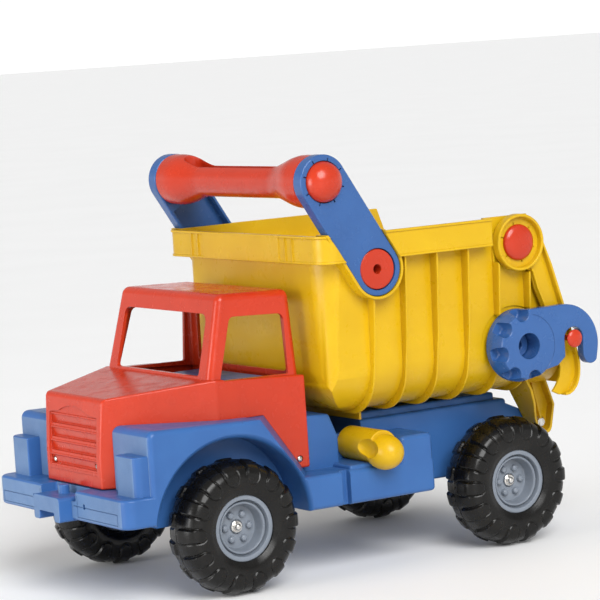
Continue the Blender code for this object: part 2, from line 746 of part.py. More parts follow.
def leg_outline(inset, top):
    """Side outline of the leg under the bed's rear end, down round the tipping pivot."""
    return rounded([
        (-273 * MM + (top - 138 * MM) * 0.52 - inset * 1.6, top, 0),
        (-273 * MM - inset, 138 * MM, 4 * MM),
        (-289 * MM, 116 * MM + inset, 8 * MM),
        (-304 * MM + inset, 116 * MM + inset, 8 * MM),
        (-311 * MM + inset, 150 * MM, 4 * MM),
        (-311 * MM + inset + (top - 150 * MM) * 0.35, top, 0),
    ])


def make_leg(side, sign):
    """One leg: a web with a shallow rear flange and a front flange that widens upwards."""
    leg = prism("leg_" + side, "Y", leg_outline(0, LEG_TOP), *on_side(sign, LEG_Y, LEG_WIDE_Y))
    taper = [(LEG_Y - 4 * MM, 110 * MM), (LEG_Y + LEG_DEPTH, 110 * MM), (LEG_Y + LEG_DEPTH, 122 * MM),
             (119.5 * MM, 140 * MM), (131.5 * MM, 158 * MM), (LEG_WIDE_Y, 175 * MM),
             (LEG_WIDE_Y, 220 * MM), (LEG_Y - 4 * MM, 220 * MM)]
    keep(leg, prism("leg_taper_" + side, "X", [(sign * y, z) for y, z in taper], -340 * MM, -220 * MM))
    pan = prism("leg_pan_" + side, "Y", leg_outline(3 * MM, 230 * MM), *on_side(sign, LEG_Y + 4 * MM, 150 * MM))
    behind = prism("leg_behind_" + side, "Y", [
        (-228.8 * MM, 230 * MM),
        (-276 * MM, 138 * MM),
        (-291 * MM, 117 * MM),
        (-330 * MM, 105 * MM),
        (-330 * MM, 230 * MM),
    ], *on_side(sign, LEG_Y + LEG_DEPTH, 150 * MM))
    cut(leg, pan, behind)
    return leg


def make_bed(tip):
    """The yellow tub with its ribs, rim band, handle pockets, pivot legs and lever bosses."""
    bed = bed_section("bed", 0, BED_TOP, BED_SIDE_Y)
    band = prism("band", "Z", band_plan(0), BED_LEDGE, BED_TOP - 0.3 * MM)
    join(bed, band)
    for k, x in enumerate(RIB_X):
        rib = prism("rib_%d" % k, "X", mirrored(rounded([
            (0, 174.4 * MM, 0),
            (150 * MM, 174.4 * MM, 52 * MM),
            (164 * MM, 260 * MM, 0),
            (170.5 * MM, BED_LEDGE + 1 * MM, 0),
            (0, BED_LEDGE + 1 * MM, 0),
        ], 3)[1:-1]), x - RIB_THICK / 2, x + RIB_THICK / 2)
        join(bed, rib)
    for side, sign, (low, high) in both_sides(158.6 * MM, 190 * MM):
        ring_room = cylinder_y("ring_room_" + side, GATE_PIVOT, 38 * MM, low, high, 24)
        cut(bed, ring_room)
    for side, sign, (low, high) in both_sides(152.6 * MM, 190 * MM):
        cut(bed, cylinder_y("knob_room_" + side, KNOB, KNOB_RADIUS + 3 * MM, low, high, 24))
    for side, sign in SIDES:
        join(bed, make_leg(side, sign))
    inside = bed_section("bed_inside", BED_WALL, BED_TOP, BED_SIDE_Y)
    band_inside = prism("band_inside", "Z", band_plan(-BED_WALL), BED_LEDGE + 3.4 * MM, 420 * MM)
    cut(bed, inside, band_inside)
    for side, sign, (low, high) in both_sides(150.6 * MM, ARM_OUT_Y + 0.5 * MM):
        pocket = prism("pocket_" + side, "Y", pocket_outline(ARM_RADIUS + 3.6 * MM, BED_TOP - 0.6 * MM), low, high)
        join(bed, pocket)
    for side, sign, (low, high) in both_sides(ARM_IN_Y - GAP, 200 * MM):
        cut(bed, prism("arm_room_" + side, "Y", pocket_outline(ARM_RADIUS + GAP, 430 * MM), low, high))
    for side, sign, (low, high) in both_sides(100 * MM, 165 * MM):
        cut(bed, cylinder_y("arm_bore_" + side, ARM_LOW, 12.4 * MM, low, high))
        cut(bed, cylinder_y("gate_bore_" + side, GATE_PIVOT, 8.4 * MM, low, high))
        cut(bed, cylinder_y("stud_bore_" + side, KNOB, 8.4 * MM, low, high))
    for side, sign, (low, high) in both_sides(80 * MM, 130 * MM):
        cut(bed, cylinder_y("leg_bore_" + side, (PIVOT_X, PIVOT_Z), 4.5 * MM, low, high))
    hook = box("front_lip", (-39.5 * MM, -36.5 * MM), (-100 * MM, 100 * MM), (165 * MM, 182 * MM))
    join(bed, hook)
    return dress(bed, YELLOW, tip)


def make_tip_pivot(root):
    """The steel rod that the bed tips about, and the push nuts on its ends."""
    centre = (PIVOT_X, PIVOT_Z)
    rod = cylinder_y("bed_pivot_rod", centre, 4 * MM, -103 * MM, 103 * MM)
    dress(rod, STEEL, root)
    for side, sign in SIDES:
        nut = [(4.3, 98.4), (7.5, 98.4), (7.2, 99.6), (5.2, 102.4), (4.3, 102.4)]
        profile = [(r * MM, sign * y * MM) for r, y in nut]
        dress(turned_y("bed_pivot_nut_" + side, centre, profile, PIN_STEPS), STEEL, root)


# --- Handle --------------------------------------------------------------------------------


def make_handle(tip):
    """Two blue arms in the bed's pockets, a red grip between them, and their red plugs."""
    along = Vector((ARM_HIGH[0] - ARM_LOW[0], ARM_HIGH[1] - ARM_LOW[1]))
    angle = math.degrees(math.atan2(along.y, along.x))
    outline = arc(ARM_LOW, ARM_RADIUS, angle - 90, angle - 270, 14)
    outline += arc(ARM_HIGH, ARM_RADIUS, angle + 90, angle - 90, 14)
    for side, sign, (low, high) in both_sides(ARM_IN_Y, ARM_OUT_Y):
        arm = prism("handle_arm_" + side, "Y", outline, low, high)
        seat = on_side(sign, 160.4 * MM, 180 * MM)
        through = on_side(sign, 140 * MM, 180 * MM)
        for place, centre in (("low", ARM_LOW), ("high", ARM_HIGH)):
            cut(arm, cylinder_y("arm_seat_%s_%s" % (place, side), centre, 23.6 * MM, *seat, 24))
            cut(arm, cylinder_y("arm_hole_%s_%s" % (place, side), centre, 12.4 * MM, *through))
        dress(arm, BLUE, tip)
        disc = [(0, 141), (15.5, 141), (15.5, 149.8), (11.4, 149.8), (11.4, 160.8), (23.1, 160.8),
                (23.1, 168.8), (21.6, 170), (5.4, 170), (5.4, 150), (0, 150)]
        profile = [(r * MM, sign * y * MM) for r, y in disc]
        dress(turned_y("handle_plug_" + side, ARM_LOW, profile, HUB_STEPS), RED, tip)
        ball = [(0, 141), (11.4, 141), (11.4, 160.8), (23.1, 160.8), (23.1, 170.5), (22, 176),
                (18, 181.4), (10, 185.2), (0, 186.4)]
        profile = [(r * MM, sign * y * MM) for r, y in ball]
        dress(turned_y("grip_ball_" + side, ARM_HIGH, profile, HUB_STEPS), RED, tip)
    half = [(12.4, 140), (12.4, 154.2), (GRIP_END_RADIUS / MM, 154.2), (GRIP_END_RADIUS / MM, 150),
            (27, 143), (22.5, 122), (20.5, 100), (GRIP_WAIST_RADIUS / MM, 60),
            (GRIP_WAIST_RADIUS / MM, 0)]
    profile = [(r * MM, y * MM) for r, y in half] + [(r * MM, -y * MM) for r, y in half[-2::-1]]
    profile = [(0, 140 * MM)] + profile + [(0, -140 * MM)]
    grip = turned_y("handle_grip", ARM_HIGH, profile, 18)
    channel = box("grip_channel", (ARM_HIGH[0] - 11 * MM, ARM_HIGH[0] + 11 * MM), (-112 * MM, 112 * MM),
                  (ARM_HIGH[1] - 4 * MM, 500 * MM), 2 * MM)
    cut(grip, channel)
    dress(grip, RED, tip)


# --- Tailgate ------------------------------------------------------------------------------


CHEEK = [
    (-244.6 * MM, 316.5 * MM),
    (-249 * MM, 299.5 * MM),
    (-258.3 * MM, 276.1 * MM),
    (-268 * MM, 255 * MM),
    (-269.5 * MM, 225 * MM),
    (-281 * MM, 202 * MM),
    (-278.7 * MM, 190.2 * MM),
    (-273.6 * MM, 181 * MM),
    (-267.4 * MM, 174 * MM),
    (-276.9 * MM, 169.3 * MM),
    (-284.3 * MM, 169.2 * MM),
    (-293.1 * MM, 172.2 * MM),
    (-301.4 * MM, 184.1 * MM),
    (-304.2 * MM, 207.4 * MM),
    (-284.1 * MM, 279.5 * MM),
    (-270.6 * MM, 324 * MM),
]


def make_tailgate(gate):
    """The swinging rear door: a panel between two cheeks, each with a ring round its pivot."""
    panel = prism("tailgate", "Y", [
        (-265.5 * MM, 356 * MM),
        (-261.5 * MM, 356 * MM),
        (-303.3 * MM, 178.5 * MM),
        (-307.3 * MM, 178.5 * MM),
    ], -161 * MM, 161 * MM)
    ring_out = arc(GATE_PIVOT, GATE_RING, 185, -112, 26)
    plate_outline = ring_out + CHEEK
    for side, sign, (low, high) in both_sides(CHEEK_Y, CHEEK_Y + CHEEK_THICK):
        join(panel, prism("cheek_" + side, "Y", plate_outline, low, high))
    for side, sign, (low, high) in both_sides(CHEEK_Y + 1 * MM, FLANGE_OUT_Y):
        ring = prism("pivot_ring_" + side, "Y", [
            arc(GATE_PIVOT, GATE_RING - 0.2 * MM, 0, 345, 23),
            arc(GATE_PIVOT, GATE_RING - 4 * MM, 345, 0, 23),
        ], low, high)
        flange = prism("flange_" + side, "Y", [
            (-259.8 * MM, 354 * MM),
            (-271.3 * MM, 324.2 * MM),
            (-284.9 * MM, 279.7 * MM),
            (-305 * MM, 207.4 * MM),
            (-302.2 * MM, 183.7 * MM),
            (-293.5 * MM, 171.4 * MM),
            (-281 * MM, 167.9 * MM),
            (-280.6 * MM, 173.2 * MM),
            (-291 * MM, 175.8 * MM),
            (-297.8 * MM, 185.6 * MM),
            (-300.4 * MM, 207 * MM),
            (-280.5 * MM, 278.4 * MM),
            (-267 * MM, 322.8 * MM),
            (-258 * MM, 354 * MM),
        ], low, high)
        join(panel, ring, flange)
    for side, sign, (low, high) in both_sides(140 * MM, 180 * MM):
        cut(panel, cylinder_y("gate_ring_bore_" + side, GATE_PIVOT, 8.4 * MM, low, high))
        cut(panel, cylinder_y("latch_bore_" + side, LATCH_PIN, 3.9 * MM, low, high))
        head_range = on_side(sign, 156 * MM, 160.1 * MM)
        cut(panel, cylinder_y("latch_head_room_" + side, LATCH_PIN, 5.5 * MM, *head_range))
    dress(panel, YELLOW, gate)
    for side, sign in SIDES:
        cap = [(0, 148), (11.5, 148), (11.5, 151.8), (8, 152), (8, 164.4), (20.8, 164.4),
               (20.8, 168), (17, 171), (9, 172.3), (0, 172.6)]
        profile = [(r * MM, sign * y * MM) for r, y in cap]
        dress(turned_y("gate_pivot_" + side, GATE_PIVOT, profile, HUB_STEPS), RED, gate)
        pin = [(0, 156.5), (5, 156.5), (5, 159.9), (3.5, 159.9), (3.5, 186), (10.4, 186),
               (10, 188.4), (6, 190), (0, 190.4)]
        profile = [(r * MM, sign * y * MM) for r, y in pin]
        dress(turned_y("latch_pin_" + side, LATCH_PIN, profile, PIN_STEPS), RED, gate)


def hook_outline():
    """The lever's arm from the knob to the hook that drops over the latch pin."""
    slot_left = -273.5 * MM
    slot_right = -300 * MM
    slot_top = (-286.7 * MM, 236 * MM)
    outline = [(-222 * MM, 276.4 * MM)]
    outline += arc((-275 * MM, 229.5 * MM), 47.4 * MM, 90, 190, 10)
    outline += arc((-311 * MM, 214 * MM), 10 * MM, 215, 330, 5)
    outline += [(slot_right, 215 * MM)]
    outline += arc(slot_top, 13.25 * MM, 180, 0, 8)
    outline += [(slot_left, 216 * MM), (-262 * MM, 207 * MM), (-240 * MM, 203 * MM), (-222 * MM, 194 * MM)]
    return outline


def make_latch_levers(tip):
    """Blue scalloped knobs with hook arms, each turning on a stud on the bed's side."""
    for side, sign, (low, high) in both_sides(LEVER_IN_Y, LEVER_OUT_Y):
        spin = joint_empty("latch_axis_" + side, (KNOB[0], sign * KNOB_IN_Y, KNOB[1]), tip)
        lever = prism("latch_lever_" + side, "Y", hook_outline(), low, high)
        drum_range = on_side(sign, KNOB_IN_Y, LEVER_OUT_Y - 0.2 * MM)
        join(lever, cylinder_y("knob_drum_" + side, KNOB, KNOB_RADIUS, *drum_range, 32))
        bite_range = on_side(sign, 166 * MM, 200 * MM)
        for k in range(5):
            turn = math.radians(-100 + 45 * k)
            place = (KNOB[0] + 41.5 * MM * math.cos(turn), KNOB[1] + 41.5 * MM * math.sin(turn))
            cut(lever, cylinder_y("knob_bite_%d_%s" % (k, side), place, 8.5 * MM, *bite_range, 12))
        bore = on_side(sign, 140 * MM, 200 * MM)
        cut(lever, cylinder_y("knob_bore_" + side, KNOB, 15.2 * MM, *bore, 20))
        dress(lever, BLUE, spin)
        stud = [(0, 143.6), (11, 143.6), (11, 145.6), (8, 145.8), (8, 152.9), (14.8, 153.2),
                (14.8, 171), (13.4, 172), (6, 172), (6, 160), (0, 160)]
        profile = [(r * MM, sign * y * MM) for r, y in stud]
        dress(turned_y("latch_stud_" + side, KNOB, profile, PIN_STEPS), BLUE, tip)


def build():
    """Make every piece of the truck."""
    root = joint_empty("truck_frame", (0, 0, 0))
    tip = joint_empty("bed_tip_axis", (PIVOT_X, 0, PIVOT_Z), root)
    gate = joint_empty("gate_axis", (GATE_PIVOT[0], 0, GATE_PIVOT[1]), tip)
    make_chassis(root)
    make_cab(root)
    make_cab_screws(root)
    make_wheels(root)
    make_lock_lever(root)
    make_bed(tip)
    make_tip_pivot(root)
    make_handle(tip)
    make_tailgate(gate)
    make_latch_levers(tip)


clear_scene()
PARTS = new_collection("push_along_truck")
CUTTERS = new_collection("cutters")
CUTTERS.hide_render = True
build()
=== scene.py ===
"""Push along tipper truck: fine moulded surfaces and finishes built around the fixed frame.

Lengths in this file are millimetres unless a name says otherwise, and are turned into metres
where a mesh is made. +X is forward, +Y is the truck's own left, +Z is up.
"""

from __future__ import annotations

import json
import logging
import math
from dataclasses import dataclass, field
from enum import Enum
from typing import Callable, Iterable, Sequence

import bmesh
import bpy
import numpy as np
from mathutils import Matrix, Vector

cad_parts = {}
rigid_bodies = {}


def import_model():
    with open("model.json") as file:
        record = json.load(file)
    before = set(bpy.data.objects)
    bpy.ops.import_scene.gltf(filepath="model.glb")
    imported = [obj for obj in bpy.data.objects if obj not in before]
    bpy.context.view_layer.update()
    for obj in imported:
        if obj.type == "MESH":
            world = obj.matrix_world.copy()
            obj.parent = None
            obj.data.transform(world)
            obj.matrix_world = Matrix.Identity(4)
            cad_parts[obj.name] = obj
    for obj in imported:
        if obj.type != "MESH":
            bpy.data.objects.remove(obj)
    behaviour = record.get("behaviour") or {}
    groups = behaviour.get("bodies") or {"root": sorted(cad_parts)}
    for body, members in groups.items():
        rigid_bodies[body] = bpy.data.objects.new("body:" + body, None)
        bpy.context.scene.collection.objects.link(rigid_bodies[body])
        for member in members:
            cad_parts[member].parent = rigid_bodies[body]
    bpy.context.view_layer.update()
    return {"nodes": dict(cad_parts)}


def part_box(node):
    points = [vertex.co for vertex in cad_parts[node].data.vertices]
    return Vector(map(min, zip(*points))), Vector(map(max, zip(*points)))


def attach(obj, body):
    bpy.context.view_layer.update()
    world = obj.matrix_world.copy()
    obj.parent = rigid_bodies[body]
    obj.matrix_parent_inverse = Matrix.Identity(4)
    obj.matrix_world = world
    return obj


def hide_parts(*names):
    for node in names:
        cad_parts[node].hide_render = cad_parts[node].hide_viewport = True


for leftover in list(bpy.data.objects):
    bpy.data.objects.remove(leftover, do_unlink=True)
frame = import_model()

LOG = logging.getLogger("push_along_truck")
MM = 0.001
SMOOTH_ANGLE = 38.0

Point = tuple[float, float]
Corner = tuple[float, float, float]
Span = tuple[float, float]


class Axis(Enum):
    """The axis along which a flat outline is drawn out."""

    X = 0
    Y = 1
    Z = 2


class Side(Enum):
    """A side of the truck; the value is the sign of Y there."""

    LEFT = 1
    RIGHT = -1

    @property
    def word(self) -> str:
        """The side's word in piece and node names."""
        return self.name.lower()

    def span(self, low: float, high: float) -> Span:
        """The Y range on this side for a range given on the left."""
        return (low, high) if self is Side.LEFT else (-high, -low)


class Body(Enum):
    """The rigid bodies that pieces ride on."""

    BASE = "truck_base"
    BED = "tipping_bed"
    GATE = "tailgate_door"
    LOCK = "lock_lever"


class Slot(Enum):
    """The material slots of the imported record."""

    RED = "red_plastic"
    BLUE = "blue_plastic"
    YELLOW = "yellow_plastic"
    TYRE = "tyre_plastic"
    HUB = "hub_plastic"
    STEEL = "zinc_steel"


# --- Outlines and solids --------------------------------------------------------------------


def node_centre(node: str) -> Vector:
    """The middle of a frame node's box, in millimetres."""
    low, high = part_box(node)
    return (low + high) / 2 / MM


def arc(centre: Point, radius: float, start: float, end: float, steps: int) -> list[Point]:
    """Points on a circle between two angles.

    Args:
        centre: middle of the circle.
        radius: radius of the circle.
        start: first angle in degrees.
        end: last angle in degrees.
        steps: number of chords.

    Returns:
        The points, both ends included.
    """
    angles = np.radians(np.linspace(start, end, steps + 1))
    return [(centre[0] + radius * math.cos(a), centre[1] + radius * math.sin(a)) for a in angles]


def rounded(corners: Sequence[Corner], steps: int = 6) -> list[Point]:
    """An outline whose (u, v, radius) corners are replaced with arcs.

    Args:
        corners: corners in order, each with its own radius.
        steps: chords in each arc.

    Returns:
        The outline's points.
    """
    points: list[Point] = []
    count = len(corners)
    for i, (u, v, radius) in enumerate(corners):
        here = Vector((u, v))
        before = (Vector(corners[i - 1][:2]) - here).normalized()
        after = (Vector(corners[(i + 1) % count][:2]) - here).normalized()
        if radius <= 0:
            points.append((u, v))
            continue
        half = before.angle(after) / 2
        middle = here + (before + after).normalized() * radius / math.sin(half)
        first = here + before * radius / math.tan(half)
        last = here + after * radius / math.tan(half)
        start = (first - middle).normalized()
        sweep = start.angle_signed((last - middle).normalized())
        for k in range(steps + 1):
            turned = Matrix.Rotation(-sweep * k / steps, 2) @ start
            points.append(tuple(middle + turned * radius))
    return points


def dome(base: float, radius: float, rise: float, steps: int) -> list[Point]:
    """The (radius, y) profile of a domed end.

    Args:
        base: Y of the dome's rim.
        radius: radius of the rim.
        rise: height of the dome above its rim.
        steps: points on the curve; the last one stands on the middle line.

    Returns:
        The profile's points.
    """
    angles = np.linspace(0, math.pi / 2, steps)[:-1]
    return [(radius * math.cos(a), base + rise * math.sin(a)) for a in angles] + [(0, base + rise)]


def mirrored(points: Sequence[Point]) -> list[Point]:
    """An outline given for positive u, closed with its mirror image."""
    return list(points) + [(-u, v) for u, v in reversed(points)]


def add_object(name: str, mesh: bpy.types.Mesh) -> bpy.types.Object:
    """Link a new object for a mesh to the scene.

    Args:
        name: object name.
        mesh: the mesh that it shows.

    Returns:
        The object.
    """
    obj = bpy.data.objects.new(name, mesh)
    bpy.context.scene.collection.objects.link(obj)
    return obj


def finish_bmesh(name: str, work: bmesh.types.BMesh) -> bpy.types.Object:
    """Turn a closed working mesh outward and wrap it in an object.

    Args:
        name: name of the object and of its mesh.
        work: the working mesh, which is freed.

    Returns:
        The new object.
    """
    bmesh.ops.recalc_face_normals(work, faces=work.faces)
    if work.calc_volume(signed=True) < 0:
        bmesh.ops.reverse_faces(work, faces=work.faces)
    mesh = bpy.data.meshes.new(name)
    work.to_mesh(mesh)
    work.free()
    return add_object(name, mesh)


def bevel_edges(
    work: bmesh.types.BMesh,
    width: float,
    segments: int = 3,
    angle: float = 28.0,
    where: Callable[[Vector], bool] | None = None,
) -> None:
    """Round the edges of a working mesh that turn by more than an angle.

    Args:
        work: the working mesh.
        width: bevel width in millimetres.
        segments: facets across each bevel.
        angle: smallest turn in degrees between an edge's two faces.
        where: test of an edge's middle, in millimetres; every edge if left out.
    """
    limit = math.radians(angle)
    chosen = []
    for edge in work.edges:
        if len(edge.link_faces) != 2 or edge.calc_face_angle(0.0) < limit:
            continue
        middle = (edge.verts[0].co + edge.verts[1].co) / 2 / MM
        if where is None or where(middle):
            chosen.append(edge)
    if chosen:
        bmesh.ops.bevel(
            work, geom=chosen, offset=width * MM, offset_type="OFFSET", segments=segments,
            profile=0.5, affect="EDGES", clamp_overlap=True,
        )


def prism(
    name: str, axis: Axis, outline: Sequence[Point], low: float, high: float,
    edge: float = 0.0, segments: int = 3, angle: float = 28.0,
) -> bpy.types.Object:
    """A flat outline drawn out along an axis.

    Args:
        name: object name.
        axis: the axis; the outline is (y, z) for X, (x, z) for Y and (x, y) for Z.
        outline: the outline's points.
        low: start along the axis.
        high: end along the axis.
        edge: width of the rounding on its edges.
        segments: facets across the rounding.
        angle: smallest turn in degrees that is rounded.

    Returns:
        The closed solid.
    """
    place = {
        Axis.X: lambda u, v, w: (w, u, v),
        Axis.Y: lambda u, v, w: (u, w, v),
        Axis.Z: lambda u, v, w: (u, v, w),
    }[axis]
    work = bmesh.new()
    rings = [[work.verts.new(Vector(place(u, v, w)) * MM) for u, v in outline] for w in (low, high)]
    work.faces.new(rings[0])
    work.faces.new(list(reversed(rings[1])))
    count = len(outline)
    for i in range(count):
        k = (i + 1) % count
        work.faces.new((rings[0][i], rings[1][i], rings[1][k], rings[0][k]))
    bmesh.ops.recalc_face_normals(work, faces=work.faces)
    if edge > 0:
        bevel_edges(work, edge, segments, angle)
    return finish_bmesh(name, work)


def block(
    name: str, x: Span, y: Span, z: Span, edge: float = 0.0, segments: int = 3,
) -> bpy.types.Object:
    """A box between three ranges, with rounded edges where a width is given."""
    outline = [(x[0], y[0]), (x[1], y[0]), (x[1], y[1]), (x[0], y[1])]
    return prism(name, Axis.Z, outline, z[0], z[1], edge, segments)


def rod(
    name: str, centre: Point, radius: float, span: Span, edge: float = 0.0, steps: int = 64,
) -> bpy.types.Object:
    """A round bar along Y about an (x, z) centre."""
    outline = arc(centre, radius, 0, 360 * (1 - 1 / steps), steps - 1)
    return prism(name, Axis.Y, outline, *span, edge)


def lathe(name: str, centre: Point, profile: Sequence[Point], steps: int = 96) -> bpy.types.Object:
    """A turned solid about a line along Y.

    Args:
        name: object name.
        centre: the line's (x, z).
        profile: (radius, y) points; it starts and ends on the line, or it is a closed loop.
        steps: facets round the turn.

    Returns:
        The closed solid.
    """
    work = bmesh.new()
    rings = []
    for radius, y in profile:
        if radius <= 0:
            rings.append([work.verts.new(Vector((centre[0], y, centre[1])) * MM)])
            continue
        ring = []
        for k in range(steps):
            turn = math.tau * k / steps
            spot = (centre[0] + radius * math.cos(turn), y, centre[1] + radius * math.sin(turn))
            ring.append(work.verts.new(Vector(spot) * MM))
        rings.append(ring)
    pairs = list(zip(rings, rings[1:]))
    if profile[0][0] > 0:
        pairs.append((rings[-1], rings[0]))
    for inner, outer in pairs:
        for k in range(steps):
            n = (k + 1) % steps
            if len(inner) == 1:
                work.faces.new((inner[0], outer[k], outer[n]))
            elif len(outer) == 1:
                work.faces.new((inner[k], outer[0], inner[n]))
            else:
                work.faces.new((inner[k], outer[k], outer[n], inner[n]))
    return finish_bmesh(name, work)


def ellipsoid(name: str, centre: Corner, radii: Corner, rows: int = 24) -> bpy.types.Object:
    """A smooth ellipsoid about a point.

    Args:
        name: object name.
        centre: its middle.
        radii: its half sizes along X, Y and Z.
        rows: facets from pole to pole.

    Returns:
        The closed solid.
    """
    work = bmesh.new()
    bmesh.ops.create_uvsphere(work, u_segments=rows * 2, v_segments=rows, radius=MM)
    stretch = Matrix.Diagonal((*radii, 1))
    shift = Matrix.Translation(Vector(centre) * MM)
    bmesh.ops.transform(work, matrix=shift @ stretch, verts=work.verts)
    return finish_bmesh(name, work)


def hull(name: str, points: Iterable[Corner]) -> bpy.types.Object:
    """The convex solid round a set of points.

    Args:
        name: object name.
        points: the points that it encloses.

    Returns:
        The closed solid.
    """
    work = bmesh.new()
    for point in points:
        work.verts.new(Vector(point) * MM)
    result = bmesh.ops.convex_hull(work, input=work.verts)
    inner = [v for v in result["geom_interior"] if isinstance(v, bmesh.types.BMVert)]
    bmesh.ops.delete(work, geom=inner, context="VERTS")
    return finish_bmesh(name, work)


def combine(base: bpy.types.Object, tools: Iterable[bpy.types.Object], how: str) -> bpy.types.Object:
    """Apply one exact Boolean per tool to the base, and remove the tools.

    Args:
        base: the solid that is changed.
        tools: the solids that change it.
        how: UNION, DIFFERENCE or INTERSECT.

    Returns:
        The base.
    """
    tools = list(tools)
    for tool in tools:
        change = base.modifiers.new(tool.name, "BOOLEAN")
        change.operation = how
        change.solver = "EXACT"
        change.object = tool
    for changed in (base, *tools):
        changed.data.update()
        changed.update_tag()
    graph = bpy.context.evaluated_depsgraph_get()
    graph.update()
    mesh = bpy.data.meshes.new_from_object(base.evaluated_get(graph))
    base.modifiers.clear()
    base.data = mesh
    for tool in tools:
        bpy.data.objects.remove(tool, do_unlink=True)
    return base


def join(base: bpy.types.Object, *tools: bpy.types.Object) -> bpy.types.Object:
    """Add solids to the base."""
    return combine(base, tools, "UNION")


def cut(base: bpy.types.Object, *tools: bpy.types.Object) -> bpy.types.Object:
    """Cut solids out of the base."""
    return combine(base, tools, "DIFFERENCE")


def keep(base: bpy.types.Object, *tools: bpy.types.Object) -> bpy.types.Object:
    """Keep what lies inside every solid."""
    return combine(base, tools, "INTERSECT")


def soften(
    obj: bpy.types.Object, width: float, segments: int = 2, angle: float = 35.0,
    where: Callable[[Vector], bool] | None = None,
) -> bpy.types.Object:
    """Round the chosen edges of a finished solid.

    Args:
        obj: the solid.
        width: bevel width.
        segments: facets across the bevel.
        angle: smallest turn in degrees that is rounded.
        where: test of an edge's middle; every edge if left out.

    Returns:
        The same object.
    """
    work = bmesh.new()
    work.from_mesh(obj.data)
    bmesh.ops.dissolve_limit(work, angle_limit=math.radians(0.5), verts=work.verts, edges=work.edges)
    bevel_edges(work, width, segments, angle, where)
    work.to_mesh(obj.data)
    work.free()
    return obj


def mirror_piece(obj: bpy.types.Object, name: str) -> bpy.types.Object:
    """A copy of a piece on the truck's other side.

    Args:
        obj: the piece.
        name: name of the copy.

    Returns:
        The copy, without materials.
    """
    work = bmesh.new()
    work.from_mesh(obj.data)
    bmesh.ops.scale(work, vec=(1, -1, 1), verts=work.verts)
    bmesh.ops.reverse_faces(work, faces=work.faces)
    mesh = bpy.data.meshes.new(name)
    work.to_mesh(mesh)
    work.free()
    return add_object(name, mesh)


# --- Finishes -------------------------------------------------------------------------------


class NodeTree:
    """A small helper that adds and links the nodes of one material."""

    def __init__(self, name: str) -> None:
        """Make the material and keep its shader."""
        self.material = bpy.data.materials.new(name)
        self.material.use_nodes = True
        self.nodes = self.material.node_tree.nodes
        self.shader = self.nodes["Principled BSDF"]
        self.place = self.add("ShaderNodeTexCoord").outputs["Object"]

    def add(self, kind: str, **values: object) -> bpy.types.Node:
        """Add a node.

        Args:
            kind: the node's type name.
            values: properties that are set on it.

        Returns:
            The node.
        """
        node = self.nodes.new(kind)
        for key, value in values.items():
            setattr(node, key, value)
        return node

    def link(self, output: bpy.types.NodeSocket, target: bpy.types.NodeSocket) -> None:
        """Link one socket to another."""
        self.material.node_tree.links.new(output, target)

    def noise(self, size: float, detail: float = 3.0) -> bpy.types.NodeSocket:
        """Add noise in the piece's own space.

        Args:
            size: about the size of its features, in millimetres.
            detail: octaves of finer noise.

        Returns:
            The noise factor.
        """
        node = self.add("ShaderNodeTexNoise")
        node.inputs["Scale"].default_value = 1 / (size * MM)
        node.inputs["Detail"].default_value = detail
        self.link(self.place, node.inputs["Vector"])
        return node.outputs["Fac"]

    def remap(
        self, source: bpy.types.NodeSocket, low: float, high: float, start: float = 0.3, end: float = 0.7,
    ) -> bpy.types.NodeSocket:
        """Spread a factor's range over new limits.

        Args:
            source: the factor.
            low: result at the range's start.
            high: result at the range's end.
            start: start of the factor's range.
            end: end of the factor's range.

        Returns:
            The result.
        """
        node = self.add("ShaderNodeMapRange")
        node.inputs["From Min"].default_value = start
        node.inputs["From Max"].default_value = end
        node.inputs["To Min"].default_value = low
        node.inputs["To Max"].default_value = high
        self.link(source, node.inputs["Value"])
        return node.outputs["Result"]

    def blend(
        self, factor: bpy.types.NodeSocket, first: Sequence[float], second: Sequence[float],
    ) -> bpy.types.NodeSocket:
        """Mix two colours.

        Args:
            factor: how much of the second colour shows.
            first: the first colour.
            second: the second colour.

        Returns:
            The mixed colour.
        """
        node = self.add("ShaderNodeMix", data_type="RGBA")
        node.inputs[6].default_value = (*first, 1)
        node.inputs[7].default_value = (*second, 1)
        self.link(factor, node.inputs["Factor"])
        return node.outputs[2]

    def relief(
        self, height: bpy.types.NodeSocket, depth: float, strength: float,
        under: bpy.types.NodeSocket | None = None,
    ) -> bpy.types.NodeSocket:
        """Add bump from a height.

        Args:
            height: the height factor.
            depth: height of a full factor, in millimetres.
            strength: share of the bump that shows.
            under: a normal that the bump lies on.

        Returns:
            The bumped normal.
        """
        node = self.add("ShaderNodeBump")
        node.inputs["Distance"].default_value = depth * MM
        node.inputs["Strength"].default_value = strength
        self.link(height, node.inputs["Height"])
        if under is not None:
            self.link(under, node.inputs["Normal"])
        return node.outputs["Normal"]

    def soft_edges(self, radius: float) -> bpy.types.NodeSocket:
        """Add a normal that rounds hard edges.

        Args:
            radius: radius of the rounding, in millimetres.

        Returns:
            The rounded normal.
        """
        node = self.add("ShaderNodeBevel", samples=4)
        node.inputs["Radius"].default_value = radius * MM
        return node.outputs["Normal"]


